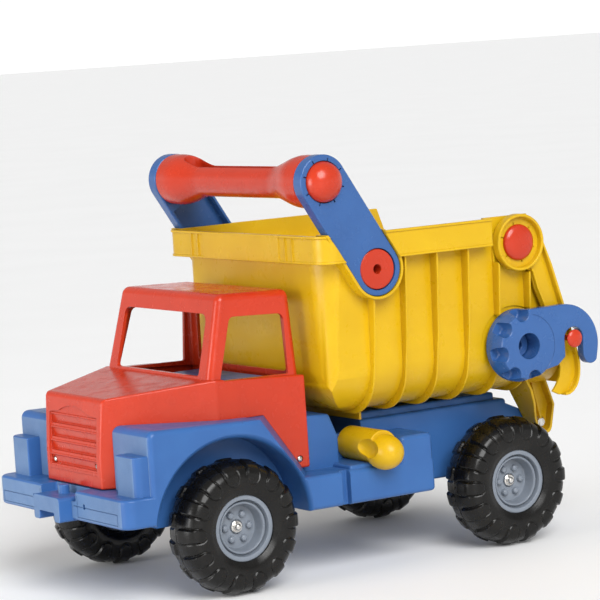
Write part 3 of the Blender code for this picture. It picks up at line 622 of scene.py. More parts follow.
@dataclass(frozen=True)
class MouldedPlastic:
    """Coloured moulded plastic with faint colour flow, sheen variation and fine surface relief."""

    name: str
    colour: tuple[float, float, float]
    shade: tuple[float, float, float]
    roughness: float = 0.3
    spread: float = 0.08
    grain: float = 1.6
    grain_depth: float = 0.05
    grain_strength: float = 0.25
    edge: float = 0.9
    gloss: float = 0.3
    scatter: float = 0.03

    def material(self) -> bpy.types.Material:
        """Build the finish's node tree."""
        tree = NodeTree(self.name)
        flow = tree.remap(tree.noise(55.0, 4.0), 0.0, 1.0)
        tree.link(tree.blend(flow, self.colour, self.shade), tree.shader.inputs["Base Color"])
        low, high = self.roughness - self.spread, self.roughness + self.spread
        sheen = tree.remap(tree.noise(14.0, 5.0), low, high)
        tree.link(sheen, tree.shader.inputs["Roughness"])
        ripple = tree.relief(tree.noise(28.0, 2.0), 0.35, 0.12, tree.soft_edges(self.edge))
        skin = tree.relief(tree.noise(self.grain, 3.0), self.grain_depth, self.grain_strength, ripple)
        tree.link(skin, tree.shader.inputs["Normal"])
        tree.shader.inputs["Specular IOR Level"].default_value = self.gloss
        tree.shader.inputs["Subsurface Weight"].default_value = self.scatter
        tree.shader.inputs["Subsurface Radius"].default_value = (0.004, 0.003, 0.002)
        tree.shader.inputs["IOR"].default_value = 1.5
        return tree.material


@dataclass(frozen=True)
class TyrePlastic:
    """Glossy black plastic with a warm cast, and grey dust in patches."""

    name: str = "tyre_black"
    colour: tuple[float, float, float] = (0.0035, 0.0032, 0.0028)
    dust: tuple[float, float, float] = (0.011, 0.01, 0.0085)

    def material(self) -> bpy.types.Material:
        """Build the finish's node tree."""
        tree = NodeTree(self.name)
        patch = tree.remap(tree.noise(22.0, 6.0), 0.0, 0.55, 0.5, 0.8)
        tree.link(tree.blend(patch, self.colour, self.dust), tree.shader.inputs["Base Color"])
        tree.link(tree.remap(tree.noise(9.0, 5.0), 0.2, 0.32), tree.shader.inputs["Roughness"])
        skin = tree.relief(tree.noise(1.1, 3.0), 0.05, 0.2, tree.soft_edges(0.5))
        tree.link(skin, tree.shader.inputs["Normal"])
        tree.shader.inputs["Specular IOR Level"].default_value = 0.3
        return tree.material


@dataclass(frozen=True)
class ZincSteel:
    """Bright plated steel with fine brushing and tarnished spots."""

    name: str = "plated_steel"
    colour: tuple[float, float, float] = (0.72, 0.71, 0.69)
    tarnish: tuple[float, float, float] = (0.42, 0.38, 0.33)

    def material(self) -> bpy.types.Material:
        """Build the finish's node tree."""
        tree = NodeTree(self.name)
        spots = tree.remap(tree.noise(2.4, 6.0), 0.0, 1.0, 0.5, 0.75)
        tree.link(tree.blend(spots, self.colour, self.tarnish), tree.shader.inputs["Base Color"])
        tree.link(tree.remap(tree.noise(1.0, 4.0), 0.14, 0.34), tree.shader.inputs["Roughness"])
        skin = tree.relief(tree.noise(0.6, 2.0), 0.02, 0.3, tree.soft_edges(0.3))
        tree.link(skin, tree.shader.inputs["Normal"])
        tree.shader.inputs["Metallic"].default_value = 1.0
        return tree.material


class Palette:
    """Every finish of the truck, made once."""

    def __init__(self) -> None:
        """Build the materials."""
        self.red = MouldedPlastic(
            "red_moulding", (0.5, 0.034, 0.009), (0.44, 0.028, 0.007), roughness=0.24, gloss=0.4,
        ).material()
        self.blue = MouldedPlastic(
            "blue_moulding", (0.035, 0.118, 0.325), (0.03, 0.1, 0.29), roughness=0.36,
        ).material()
        # Blue for the forward-facing front faces: grain relief, plus a lighter, greyer base colour that is
        # painted sheen from the front light.
        self.grained_blue = MouldedPlastic(
            "blue_grained_moulding", (0.1, 0.19, 0.36), (0.075, 0.15, 0.3), roughness=0.5, grain=1.2,
            grain_depth=0.4, grain_strength=0.8, gloss=0.6,
        ).material()
        self.arm_blue = MouldedPlastic(
            "blue_handle_moulding", (0.032, 0.105, 0.3), (0.027, 0.09, 0.265), roughness=0.24,
            gloss=0.45,
        ).material()
        self.yellow = MouldedPlastic(
            "yellow_moulding", (0.62, 0.385, 0.006), (0.56, 0.335, 0.004), roughness=0.32,
            scatter=0.08,
        ).material()
        self.hub = MouldedPlastic(
            "hub_grey", (0.19, 0.215, 0.255), (0.155, 0.18, 0.215), roughness=0.34, gloss=0.45,
        ).material()
        self.tyre = TyrePlastic().material()
        self.steel = ZincSteel().material()

    def for_slot(self, slot: Slot) -> bpy.types.Material:
        """The plain finish of a record slot."""
        return {
            Slot.RED: self.red, Slot.BLUE: self.blue, Slot.YELLOW: self.yellow,
            Slot.TYRE: self.tyre, Slot.HUB: self.hub, Slot.STEEL: self.steel,
        }[slot]


@dataclass
class Assembly:
    """What every sub-assembly shares: its finishes and the way its pieces are finished."""

    palette: Palette

    def dress(
        self, obj: bpy.types.Object, slot: Slot, body: str, nodes: Sequence[str],
        finish: bpy.types.Material | None = None,
    ) -> bpy.types.Object:
        """Shade, colour and attach a piece.

        Args:
            obj: the piece.
            slot: its record slot.
            body: the frame body that it rides on.
            nodes: the frame nodes that it stands for.
            finish: a finish other than the slot's plain one.

        Returns:
            The same object.
        """
        obj.data.materials.clear()
        obj.data.materials.append(finish or self.palette.for_slot(slot))
        obj.data.shade_smooth()
        obj.data.set_sharp_from_angle(angle=math.radians(SMOOTH_ANGLE))
        weighting = obj.modifiers.new("flat_faces", "WEIGHTED_NORMAL")
        weighting.keep_sharp = True
        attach(obj, body)
        if nodes:
            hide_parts(*nodes)
        LOG.info("%s: %d faces, rides on %s", obj.name, len(obj.data.polygons), body)
        return obj

    def dress_pair(
        self, left: bpy.types.Object, stem: str, slot: Slot, bodies: Sequence[str],
        node_stem: str, finish: bpy.types.Material | None = None,
    ) -> None:
        """Finish a left piece and its mirror image on the right.

        Args:
            left: the piece on the left side.
            stem: name stem of both pieces.
            slot: their record slot.
            bodies: the bodies of the left and right piece.
            node_stem: name stem of the frame nodes that they stand for.
            finish: a finish other than the slot's plain one.
        """
        left.name = f"{stem}_left"
        right = mirror_piece(left, f"{stem}_right")
        for piece, side, body in ((left, Side.LEFT, bodies[0]), (right, Side.RIGHT, bodies[-1])):
            self.dress(piece, slot, body, [f"{node_stem}_{side.word}"], finish)


# --- Wheels ---------------------------------------------------------------------------------


@dataclass
class Wheels(Assembly):
    """Four hollow moulded tyres with raised lugs, on dished hubs with domed nuts."""

    lugs: int = 14
    steps_per_lug: int = 40
    rows: int = 120
    lug_half_width: float = 7.6
    lug_start: float = 4.0
    lug_start_corner: float = 4.0
    lug_end: float = 42.0
    lug_height: float = 2.1
    groove: float = 0.9
    nuts: int = 6
    nut_circle: float = 15.4
    tyre_section: Sequence[Point] = (
        (37.0, 24.6), (39.0, 25.6), (44.0, 27.9), (50.0, 29.0), (56.0, 28.9), (61.0, 27.6),
        (65.5, 25.0), (69.0, 20.8), (71.4, 15.4), (72.8, 9.0), (73.4, 3.0), (73.5, 0.0),
    )
    hub_section: Sequence[Point] = (
        (4.6, 112.3), (9, 112.3), (9, 139), (24, 140), (33.5, 122), (34.7, 122.4), (34.7, 159.6),
        (37.2, 160.2), (37.7, 161.2), (37.6, 162.4), (36.9, 163.4), (35.8, 163.8), (32.6, 163.8),
        (31.7, 163.4), (31.3, 162.4), (31.0, 157.6), (30.6, 157.0), (29.9, 157.0), (29.5, 157.6),
        (29.2, 159.6), (28.4, 160.5), (27.2, 160.5), (26.4, 159.8), (25.8, 158.2), (24.3, 148.2),
        (23.8, 146.7), (22.8, 146.2), (8.2, 146.2), (7.9, 145.4), (4.6, 145.4),
    )
    nut_section: Sequence[Point] = (
        (0, 144.6), (4.3, 144.6), (4.3, 146.4), (3.9, 147.0), (3.8, 149.2), (3.4, 150.2), (2.4, 150.8),
        (1.1, 151.0), (0, 151.0),
    )
    cap_section: Sequence[Point] = (
        (0, 146.5), (6.9, 146.5), (7.3, 147.2), (7.1, 148.2), (6.0, 149.0), (5.0, 148.9), (4.4, 148.4),
        (4.0, 148.8), (3.8, 151.4), (3.1, 152.6), (1.9, 153.1), (0, 153.2),
    )

    def section_points(self) -> tuple[np.ndarray, np.ndarray, np.ndarray]:
        """The tyre's outer section, evenly spaced from inner to outer bead.

        Returns:
            Radii, offsets from the middle of the tyre, and distances from the centre seam.
        """
        half = np.array(self.tyre_section)
        whole = np.vstack([half * (1, -1), (half * (1, 1))[::-1][1:]])
        steps = np.hypot(*np.diff(whole, axis=0).T)
        along = np.concatenate([[0], np.cumsum(steps)])
        even = np.linspace(0, along[-1], self.rows)
        smooth = [np.interp(even, along, whole[:, k]) for k in (0, 1)]
        for _ in range(3):
            for values in smooth:
                values[1:-1] = (values[:-2] + 2 * values[1:-1] + values[2:]) / 4
        return smooth[0], smooth[1], even - along[-1] / 2

    def relief(self, turn: np.ndarray, seam_distance: np.ndarray) -> np.ndarray:
        """Height of the tread at each point.

        Args:
            turn: angles round the tyre, one per column.
            seam_distance: signed distances from the centre seam, one per row.

        Returns:
            Heights in millimetres, rows by columns.
        """
        pitch = math.tau / self.lugs
        reach = np.abs(seam_distance)[:, None]
        stagger = np.where(seam_distance[:, None] > 0, 0.0, pitch / 2)
        local = (turn[None, :] + stagger + pitch / 2) % pitch - pitch / 2
        radius = 73.0 - np.clip(reach - 24, 0, 30) * 0.55
        across = np.abs(local) * radius
        past_end = np.clip(reach - self.lug_end + self.lug_half_width, 0, None)
        outer = np.hypot(across, past_end) - self.lug_half_width
        corner = self.lug_start_corner
        side = across - self.lug_half_width + corner
        root = self.lug_start + corner - reach
        bend = np.hypot(np.clip(side, 0, None), np.clip(root, 0, None))
        inner = bend + np.minimum(np.maximum(side, root), 0) - corner
        edge = -np.maximum(outer, inner)
        lug = np.clip(edge / 1.7 + 0.5, 0, 1)
        lug = lug * lug * (3 - 2 * lug)
        wall = np.clip((reach - 26) / 14, 0, 1)
        height = self.lug_height * (1 - 0.8 * wall * wall * (3 - 2 * wall))
        outline = np.exp(-((edge + 1.5) / 1.0) ** 2)
        seam = 0.8 * np.exp(-((seam_distance[:, None]) / 0.75) ** 2)
        pip = 1.2 * np.exp(-(across ** 2 + (reach - 2.6) ** 2) / 1.4)
        return lug * height - outline * self.groove + seam + pip

    def tyre(self, name: str, centre: Vector) -> bpy.types.Object:
        """One left-hand tyre about its wheel centre.

        Args:
            name: object name.
            centre: middle of the tyre.

        Returns:
            The closed tyre.
        """
        radii, offsets, seam = self.section_points()
        columns = self.lugs * self.steps_per_lug
        turn = np.arange(columns) * math.tau / columns
        slope_r = np.gradient(radii)
        slope_w = np.gradient(offsets)
        length = np.hypot(slope_r, slope_w)
        height = self.relief(turn, seam)
        r = radii[:, None] + height * (slope_w / length)[:, None]
        w = offsets[:, None] - height * (slope_r / length)[:, None]
        r = np.vstack([r, np.full((1, columns), 35.2), np.full((1, columns), 35.2)])
        w = np.vstack([w, np.full((1, columns), 18.0), np.full((1, columns), -18.0)])
        x = centre.x + r * np.cos(turn)
        z = centre.z + r * np.sin(turn)
        y = centre.y + w
        points = np.stack([x, y, z], axis=-1).reshape(-1, 3) * MM
        count = len(r)
        faces = []
        for i in range(count):
            below, above = i * columns, (i + 1) % count * columns
            for k in range(columns):
                n = (k + 1) % columns
                faces.append((below + k, below + n, above + n, above + k))
        mesh = bpy.data.meshes.new(name)
        mesh.from_pydata(points.tolist(), [], faces)
        work = bmesh.new()
        work.from_mesh(mesh)
        bpy.data.meshes.remove(mesh)
        return finish_bmesh(name, work)

    def hub(self, name: str, centre: Vector) -> bpy.types.Object:
        """One left-hand hub with a ring of domed nuts.

        Args:
            name: object name.
            centre: middle of the wheel.

        Returns:
            The closed hub.
        """
        middle = (centre.x, centre.z)
        hub = lathe(name, middle, self.hub_section, 96)
        domes = []
        for k in range(self.nuts):
            turn = math.tau * k / self.nuts
            spot = (middle[0] + self.nut_circle * math.cos(turn),
                    middle[1] + self.nut_circle * math.sin(turn))
            domes.append(lathe(f"nut_{k}", spot, self.nut_section, 32))
        return join(hub, *domes)

    def build(self) -> None:
        """Make and attach the tyres, hubs and push caps of all four wheels."""
        for end in ("front", "rear"):
            centre = node_centre(f"{end}_left_tyre")
            tyre = self.tyre(f"{end}_tyre", centre)
            hub = self.hub(f"{end}_hub", centre)
            cap = lathe(f"{end}_cap", (centre.x, centre.z), self.cap_section, 48)
            for side in Side:
                label = f"{end}_{side.word}"
                for left, stem, slot, body, node in (
                    (tyre, "treaded_tyre", Slot.TYRE, f"{label}_wheel", "tyre"),
                    (hub, "dished_hub", Slot.HUB, f"{label}_wheel", "hub"),
                    (cap, "push_cap", Slot.STEEL, Body.BASE.value, "axle_cap"),
                ):
                    name = f"{label}_{stem}"
                    if side is Side.LEFT:
                        piece = add_object(name, left.data.copy())
                    else:
                        piece = mirror_piece(left, name)
                    self.dress(piece, slot, body, [f"{label}_{node}"])
            for pattern in (tyre, hub, cap):
                bpy.data.objects.remove(pattern, do_unlink=True)


# --- Chassis --------------------------------------------------------------------------------


@dataclass
class Chassis(Assembly):
    """The blue base moulding with rounded fenders, bumper, lamp blocks and side boxes."""

    side_y: float = 153
    spine_y: float = 92
    gap: float = 0.4
    deck_z: float = 190
    nose: Point = (284, 64)
    shoulder: Point = (165, 125)
    bumper_z: Span = (91, 124)
    bumper_front: float = 305
    pivot: Point = (-294, 129.5)
    # X beyond which forward-facing faces get the grained blue with its painted sheen.
    grain_faces_from_x: float = 268
    skirt_seat: Sequence[Corner] = (
        (56, 126, 118.5), (107, 126, 190), (74.8, 152.3, 119), (128, 152.3, 190.2),
        (150, 152.3, 190.2), (150, 126, 190), (150, 152.3, 110), (150, 126, 110),
        (74.8, 152.3, 110), (56, 126, 110),
        (56, 60, 118.5), (107, 60, 190), (150, 60, 190), (150, 60, 110), (56, 60, 110),
    )

    def cab_plan(self, rear: float) -> list[Point]:
        """Plan outline of the room that the cab stands in.

        Args:
            rear: X of its rear end.

        Returns:
            The outline's (x, y) points.
        """
        grow = self.gap
        side = self.shoulder[1] + grow
        half = [(self.nose[0] + grow, self.nose[1] + grow), (self.shoulder[0], side), (rear, side)]
        return half + [(x, -y) for x, y in reversed(half)]

    def main_solids(self) -> bpy.types.Object:
        """Join the fenders, spine, bumper, boxes and axle blocks.

        Returns:
            The chassis before anything is cut out of it.
        """
        body = prism("chassis_moulding", Axis.Y, rounded([
            (80, 79.4, 0), (74, 119, 0), (128, 191, 8), (270, 195, 9), (270, 92, 0), (240, 79.6, 0),
        ]), -self.side_y, self.side_y, 6.5, 4)
        spine = block("spine", (-252, 245), (-self.spine_y, self.spine_y), (80, 163), 4)
        plateau = block("plateau", (-240, -43), (-84, 84), (150, 171), 3)
        tail_y = self.spine_y - 0.2
        tail = prism("tail", Axis.Y, [(-240, 82), (-240, 162), (-262, 152)]
                     + arc(self.pivot, 13, 60, 250, 20), -tail_y, tail_y, 1.5)
        hump = prism("hump", Axis.Y, rounded([
            (60, 100, 0), (1, 100, 0), (1, 152, 3), (12, 179, 5), (60, 181, 0),
        ]), -112, 112, 4)
        boxes = block("side_boxes", (-102, 82), (-152.6, 152.6), (79, 118), 5)
        tank = block("side_tank", (-101.6, -57), (-152.2, 152.2), (84, 147), 6)
        step = block("side_step", (-54, 11), (-148.4, 148.4), (84, 122.4), 3)
        bumper = prism("bumper_bar", Axis.Z, rounded([
            (240, -self.side_y + 0.3, 0), (240, self.side_y - 0.3, 0),
            (self.bumper_front, self.side_y - 0.3, 16), (self.bumper_front, -self.side_y + 0.3, 16),
        ], 8), *self.bumper_z, 3.6, 4)
        parts = [spine, plateau, tail, hump, boxes, tank, step, bumper]
        for side in Side:
            seat = [(x, side.value * y, z) for x, y, z in self.skirt_seat]
            parts.append(hull(f"skirt_seat_{side.word}", seat))
            near, far = side.value * 105, side.value * 148
            outline = rounded([(252, near, 0), (286.5, near, 2), (286.5, far, 10), (252, far, 0)], 8)
            parts.append(prism(f"lamp_block_{side.word}", Axis.Z, outline, 119, 168, 3.2, 4))
        for node in ("front_axle", "rear_axle"):
            x = node_centre(node).x
            parts.append(prism(node + "_block", Axis.Y, rounded([
                (x - 24, 90, 0), (x - 14, 62, 5), (x + 14, 62, 5), (x + 24, 90, 0),
            ]), -self.spine_y + 0.5, self.spine_y - 0.5, 1.5))
        return join(body, *parts)

    def clear_rooms(self, body: bpy.types.Object) -> None:
        """Cut the cab's slot, wheel arches, grooves, troughs and the open underside.

        Args:
            body: the chassis, which is changed.
        """
        slot = prism("cab_slot", Axis.Z, self.cab_plan(-10), 123.6, 300)
        keep(slot, block("over_deck", (216, 400), (-200, 200), (60, 400)))
        upper = prism("cab_slot_upper", Axis.Z, self.cab_plan(-10), self.deck_z, 300)
        notch = block("bumper_notch", (284.5, 330), (-41, 41), (112, 140), 3)
        cut(body, slot, upper, notch)
        rooms = []
        for side in Side:
            flare = [(98 + 8.5 * (1 - math.cos(a)), 145 + 8.5 * math.sin(a))
                     for a in np.linspace(0, math.pi / 2, 8)]
            profile = [(r, side.value * y)
                       for r, y in ((0, 104), (98, 104), *flare, (108, 170), (0, 170))]
            rooms.append(lathe(f"arch_{side.word}", (166, 75.5), profile, 128))
            rooms.append(block(f"groove_{side.word}", (14.4, 25.6), side.span(144, 170), (60, 150), 1.5))
            rooms.append(rod(f"spacer_room_{side.word}", (164, 75.5), 9, side.span(92.2, 106)))
        rooms.append(block("trough", (-42.8, 0.8), (-82, 82), (118, 200)))
        rooms.append(block("relief", (-43, 0.9), (-95, 95), (151, 200)))
        rooms.append(prism("underside_hollow", Axis.Y, [
            (-234, 30), (-234, 156), (-50, 156), (-50, 112), (8, 112), (8, 173), (46, 174), (54, 150),
            (68, 150), (112, 184), (209, 184), (209, 117), (256, 117), (256, 30),
        ], -84, 84))
        for node in ("front_axle", "rear_axle"):
            rooms.append(rod(node + "_bore", (node_centre(node).x, 75.5), 4.3, (-110, 110), 0, 32))
        lock = node_centre("lock_shaft")
        rooms.append(rod("lock_bore", (lock.x, lock.z), 5.4, (-110, 110), 0, 32))
        rooms.append(rod("pivot_bore", self.pivot, 4.4, (-110, 110), 0, 32))
        cut(body, *rooms)

    def engrave_front(self, body: bpy.types.Object) -> None:
        """Cut the bumper's fine lines and small holes.

        Args:
            body: the chassis, which is changed.
        """
        marks = []
        front = (self.bumper_front - 0.9, 320)
        for side in Side:
            marks.append(block(f"bumper_hole_{side.word}", (296, 320), side.span(58, 62), (105.6, 111)))
            marks.append(block(f"middle_line_{side.word}", front, side.span(36, 136), (106.9, 107.8)))
            marks.append(block(f"end_line_{side.word}", front, side.span(135.4, 136.2), (95, 107.4)))
            marks.append(block(f"inner_line_{side.word}", front, side.span(43.6, 44.4), (95, 119)))
            marks.append(block(f"low_line_{side.word}", front, side.span(44, 136), (95, 95.8)))
        cut(body, *marks)

    def build(self) -> None:
        """Make, colour and attach the chassis and its tow jaw."""
        body = self.main_solids()
        self.clear_rooms(body)
        self.engrave_front(body)
        seat = block("seat_block", (62, 112), (-74, 74), (150, 226), 6)
        jaw = prism("tow_jaw", Axis.X, rounded([
            (-31, 89, 3), (-17, 89, 3), (-17, 99, 1), (17, 99, 1), (17, 89, 3), (31, 89, 3),
            (31, 117, 5), (-31, 117, 5),
        ], 4), 290, 321, 3)
        post = prism("tow_post", Axis.Z, arc((297.5, 0), 6.4, 0, 345, 23), 108, 127, 1.6)
        join(body, seat, jaw, post)
        self.dress(body, Slot.BLUE, Body.BASE.value, ["chassis"])
        # Second material on forward-facing front faces: grain relief, and a lighter base colour that is
        # painted sheen from the front light.
        body.data.materials.append(self.palette.grained_blue)
        for face in body.data.polygons:
            low = 252 if abs(face.center.y) > 100 * MM else self.grain_faces_from_x
            if face.normal.x > 0.93 and face.center.x > low * MM:
                face.material_index = 1


# --- Cab ------------------------------------------------------------------------------------


@dataclass
class Cab(Assembly):
    """The red cab shell with its louvred grille and open windows."""

    wall: float = 4.0
    nose_y: float = 64
    side_y: float = 125
    shoulder_x: float = 165
    rear_x: float = 49
    grille_half: float = 56
    grille_sink: float = 1.2
    louvres: int = 4
    louvre_pitch: float = 15.3
    louvre_top: float = 200
    louvre_depth: float = 3.1

    def form(self, name: str, shrink: float, edge: float) -> bpy.types.Object:
        """The cab's closed form, or its inner form when shrunk by the wall.

        Args:
            name: object name.
            shrink: how far inside the outer face it lies.
            edge: rounding of its edges.

        Returns:
            The closed solid.
        """
        s = shrink
        open_below = s > 0
        front = 283.6 - s
        half = [(front, self.nose_y - s), (self.shoulder_x - s * 0.3, self.side_y - s),
                (self.rear_x + s, self.side_y - s)]
        plan = half + [(x, -y) for x, y in reversed(half)]
        body = prism(name, Axis.Z, plan, 104 if open_below else 124, 260)
        low = 60 if open_below else 124.4
        side = prism(name + "_side", Axis.Y, [
            (29, low), (300, low), (300, low if open_below else 130), (286 - s, 130),
            (278.5 - s, 221), (275 - s, 224.5 - s), (168 - s, 236.5 - s), (29, 228 - s),
        ], -200, 200)
        keep(body, side)
        house = prism(name + "_house", Axis.Y, [
            (51 + s, 196), (179.4 - s, 196), (147 - s, 329 - s), (54 + s, 326 - s),
        ], -200, 200)
        across = prism(name + "_across", Axis.X, [
            (120.8 - s, 196), (110.5 - s, 330 - s), (-110.5 + s, 330 - s), (-120.8 + s, 196),
        ], 0, 300)
        keep(house, across)
        soften(body, edge, 4, 12)
        soften(house, edge * 2.2, 6, 20, lambda p: p.z > 215)
        return join(body, house)

    def cut_windows(self, cab: bpy.types.Object) -> None:
        """Open the windows and the skirts' undersides.

        Args:
            cab: the shell, which is changed.
        """
        screen = prism("windscreen_hole", Axis.X, rounded([
            (94, 239, 4), (93, 307, 10), (-93, 307, 10), (-94, 239, 4),
        ]), 110, 200)
        rear = prism("rear_window_hole", Axis.X, rounded([
            (97, 232, 5), (93, 306, 10), (-93, 306, 10), (-97, 232, 5),
        ]), 30, 75)
        doors = prism("side_window_hole", Axis.Y, rounded([
            (155, 234, 2), (135, 303, 7), (65, 300, 8), (66.5, 232, 2),
        ]), -200, 200)
        deck = [(216.4, 40), (216.4, 190.4), (106.6, 190.4), (55.6, 118.9), (20, 118.9), (20, 40)]
        skirts = prism("skirt_cut", Axis.Y, deck, -200, 200)
        hump_room = block("hump_room", (30, 60), (-112.4, 112.4), (100, 181.4))
        cut(cab, screen, rear, doors, skirts, hump_room)

    def cut_grille(self, cab: bpy.types.Object) -> None:
        """Sink the arched grille panel, its slanted louvre slots and the lip panel below.

        Args:
            cab: the shell, which is changed.
        """
        slope = 6.5 / 91
        half, sink = self.grille_half, self.grille_sink
        panel = prism("grille_panel", Axis.X, [(-half, 142), (half, 142), (half, 203)]
                      + arc((0, 128), 84.6, 66, 114, 20) + [(-half, 203)], 0, 300)
        keep(panel, prism("grille_depth", Axis.Y, [
            (285.4 - sink, 128), (300, 128), (300, 222), (278.1 - sink, 222),
        ], -90, 90))
        lip = prism("lip_depth", Axis.Y, [
            (285.2 - sink, 128), (300, 128), (300, 222), (278 - sink, 222),
        ], -90, 90)
        keep(lip, block("lip_panel", (200, 320), (-half, half), (131.6, 138.8)))
        slots, bars = [], []
        for k in range(self.louvres):
            top = self.louvre_top - self.louvre_pitch * k
            front = 284.1 - (top - 130) * slope
            slot = prism(f"louvre_{k}", Axis.Y, [
                (front + 8, top - 9.8), (front + 8, top), (front - 0.6, top), (front - 1.4, top - 0.8),
                (front - self.louvre_depth, top - 8.8), (front - self.louvre_depth + 0.6, top - 9.8),
            ], -half + 2.2, half - 2.2)
            slots.append(slot)
            bars.append(block(f"louvre_bar_{k}", (front - 2.0, front + 0.5), (-half + 1, half - 1),
                              (top + 0.2, top + 2.6), 0.9, 3))
        backing = prism("grille_backing", Axis.Y, [
            (277.6, 133), (281.5, 133), (281.5, 150), (277.4, 206), (273.4, 206),
        ], -half - 2, half + 2)
        join(cab, backing)
        cut(cab, panel, lip, *slots)
        join(cab, *bars)

    def seats(self) -> list[bpy.types.Object]:
        """Seats sunk for the four screws.

        Returns:
            The solids to cut.
        """
        seats = []
        for side in Side:
            seats.append(block(f"grille_seat_{side.word}", (276, 300), side.span(46, 53),
                               (144.9, 152.1), 1))
            seats.append(rod(f"side_seat_{side.word}", (62, 135), 3.9, side.span(122.4, 130), 0, 32))
        return seats

    def screw(self, name: str, place: Vector, out: Vector, radius: float) -> bpy.types.Object:
        """A domed cross-head screw.

        Args:
            name: object name.
            place: middle of the head's outer face.
            out: direction that the head faces.
            radius: radius of the head.

        Returns:
            The closed screw head.
        """
        head = lathe(name, (0, 0), [
            (0, -3.0), (radius, -3.0), (radius, -0.9), (radius * 0.85, -0.35), (radius * 0.4, 0),
            (0, 0.05),
        ], 32)
        slots = [block(f"{name}_slot_{k}", (-a, a), (-1.1, 1), (-b, b)) for k, (a, b) in enumerate(
            ((radius * 0.62, radius * 0.13), (radius * 0.13, radius * 0.62)))]
        cut(head, *slots)
        turn = Vector((0, 1, 0)).rotation_difference(out).to_matrix().to_4x4()
        head.data.transform(Matrix.Translation(place * MM) @ turn @ Matrix.Rotation(0.4, 4, "Y"))
        return head

    def build(self) -> None:
        """Make, colour and attach the cab shell and its screws."""
        cab = self.form("cab_moulding", 0, 3.6)
        inside = self.form("cab_inside", self.wall, 2.0)
        cut(cab, inside)
        self.cut_windows(cab)
        self.cut_grille(cab)
        cut(cab, *self.seats())
        self.dress(cab, Slot.RED, Body.BASE.value, ["cab_shell"])
        for side in Side:
            front = Vector((280.9, side.value * 49.5, 148.5))
            piece = self.screw(f"grille_cross_screw_{side.word}", front, Vector((1, 0, 0)), 2.9)
            self.dress(piece, Slot.STEEL, Body.BASE.value, [f"grille_screw_{side.word}"])
            flank = Vector((62, side.value * 125.6, 135))
            piece = self.screw(f"cab_cross_screw_{side.word}", flank, Vector((0, side.value, 0)), 3.2)
            self.dress(piece, Slot.STEEL, Body.BASE.value, [f"cab_screw_{side.word}"])


# --- Bed lock lever -------------------------------------------------------------------------


@dataclass
class LockLever(Assembly):
    """The yellow grips of the bed lock, with a drooping end and a thumb scoop."""

    radius: float = 19.5
    inner_y: float = 93
    droop: float = 5.0
    tip_y: float = 188

    def build(self) -> None:
        """Make, colour and attach both grips."""
        shaft = node_centre("lock_shaft")
        centre = (shaft.x, shaft.z)
        grip = rod("lock_grip", centre, self.radius, (self.inner_y, 160), 1.5, 72)
        bulb = ellipsoid("bulb", (shaft.x, self.tip_y - 26, shaft.z - self.droop), (20.2, 26, 20.2), 32)
        keep(bulb, block("bulb_zone", (-90, 40), (138, 230), (90, 200)))
        join(grip, bulb)
        scoop = ellipsoid("thumb_scoop", (shaft.x + 23, 157, shaft.z + 1.5), (11, 21, 12.5), 24)
        cut(grip, scoop, rod("shaft_bore", centre, 5.3, (90, 110.4), 0, 32))
        soften(grip, 1.4, 3, 24, lambda p: p.y > 130 and p.x > shaft.x + 8)
        self.dress_pair(grip, "lock_hand_grip", Slot.YELLOW, [Body.LOCK.value], "lock_grip")


# --- Bed ------------------------------------------------------------------------------------


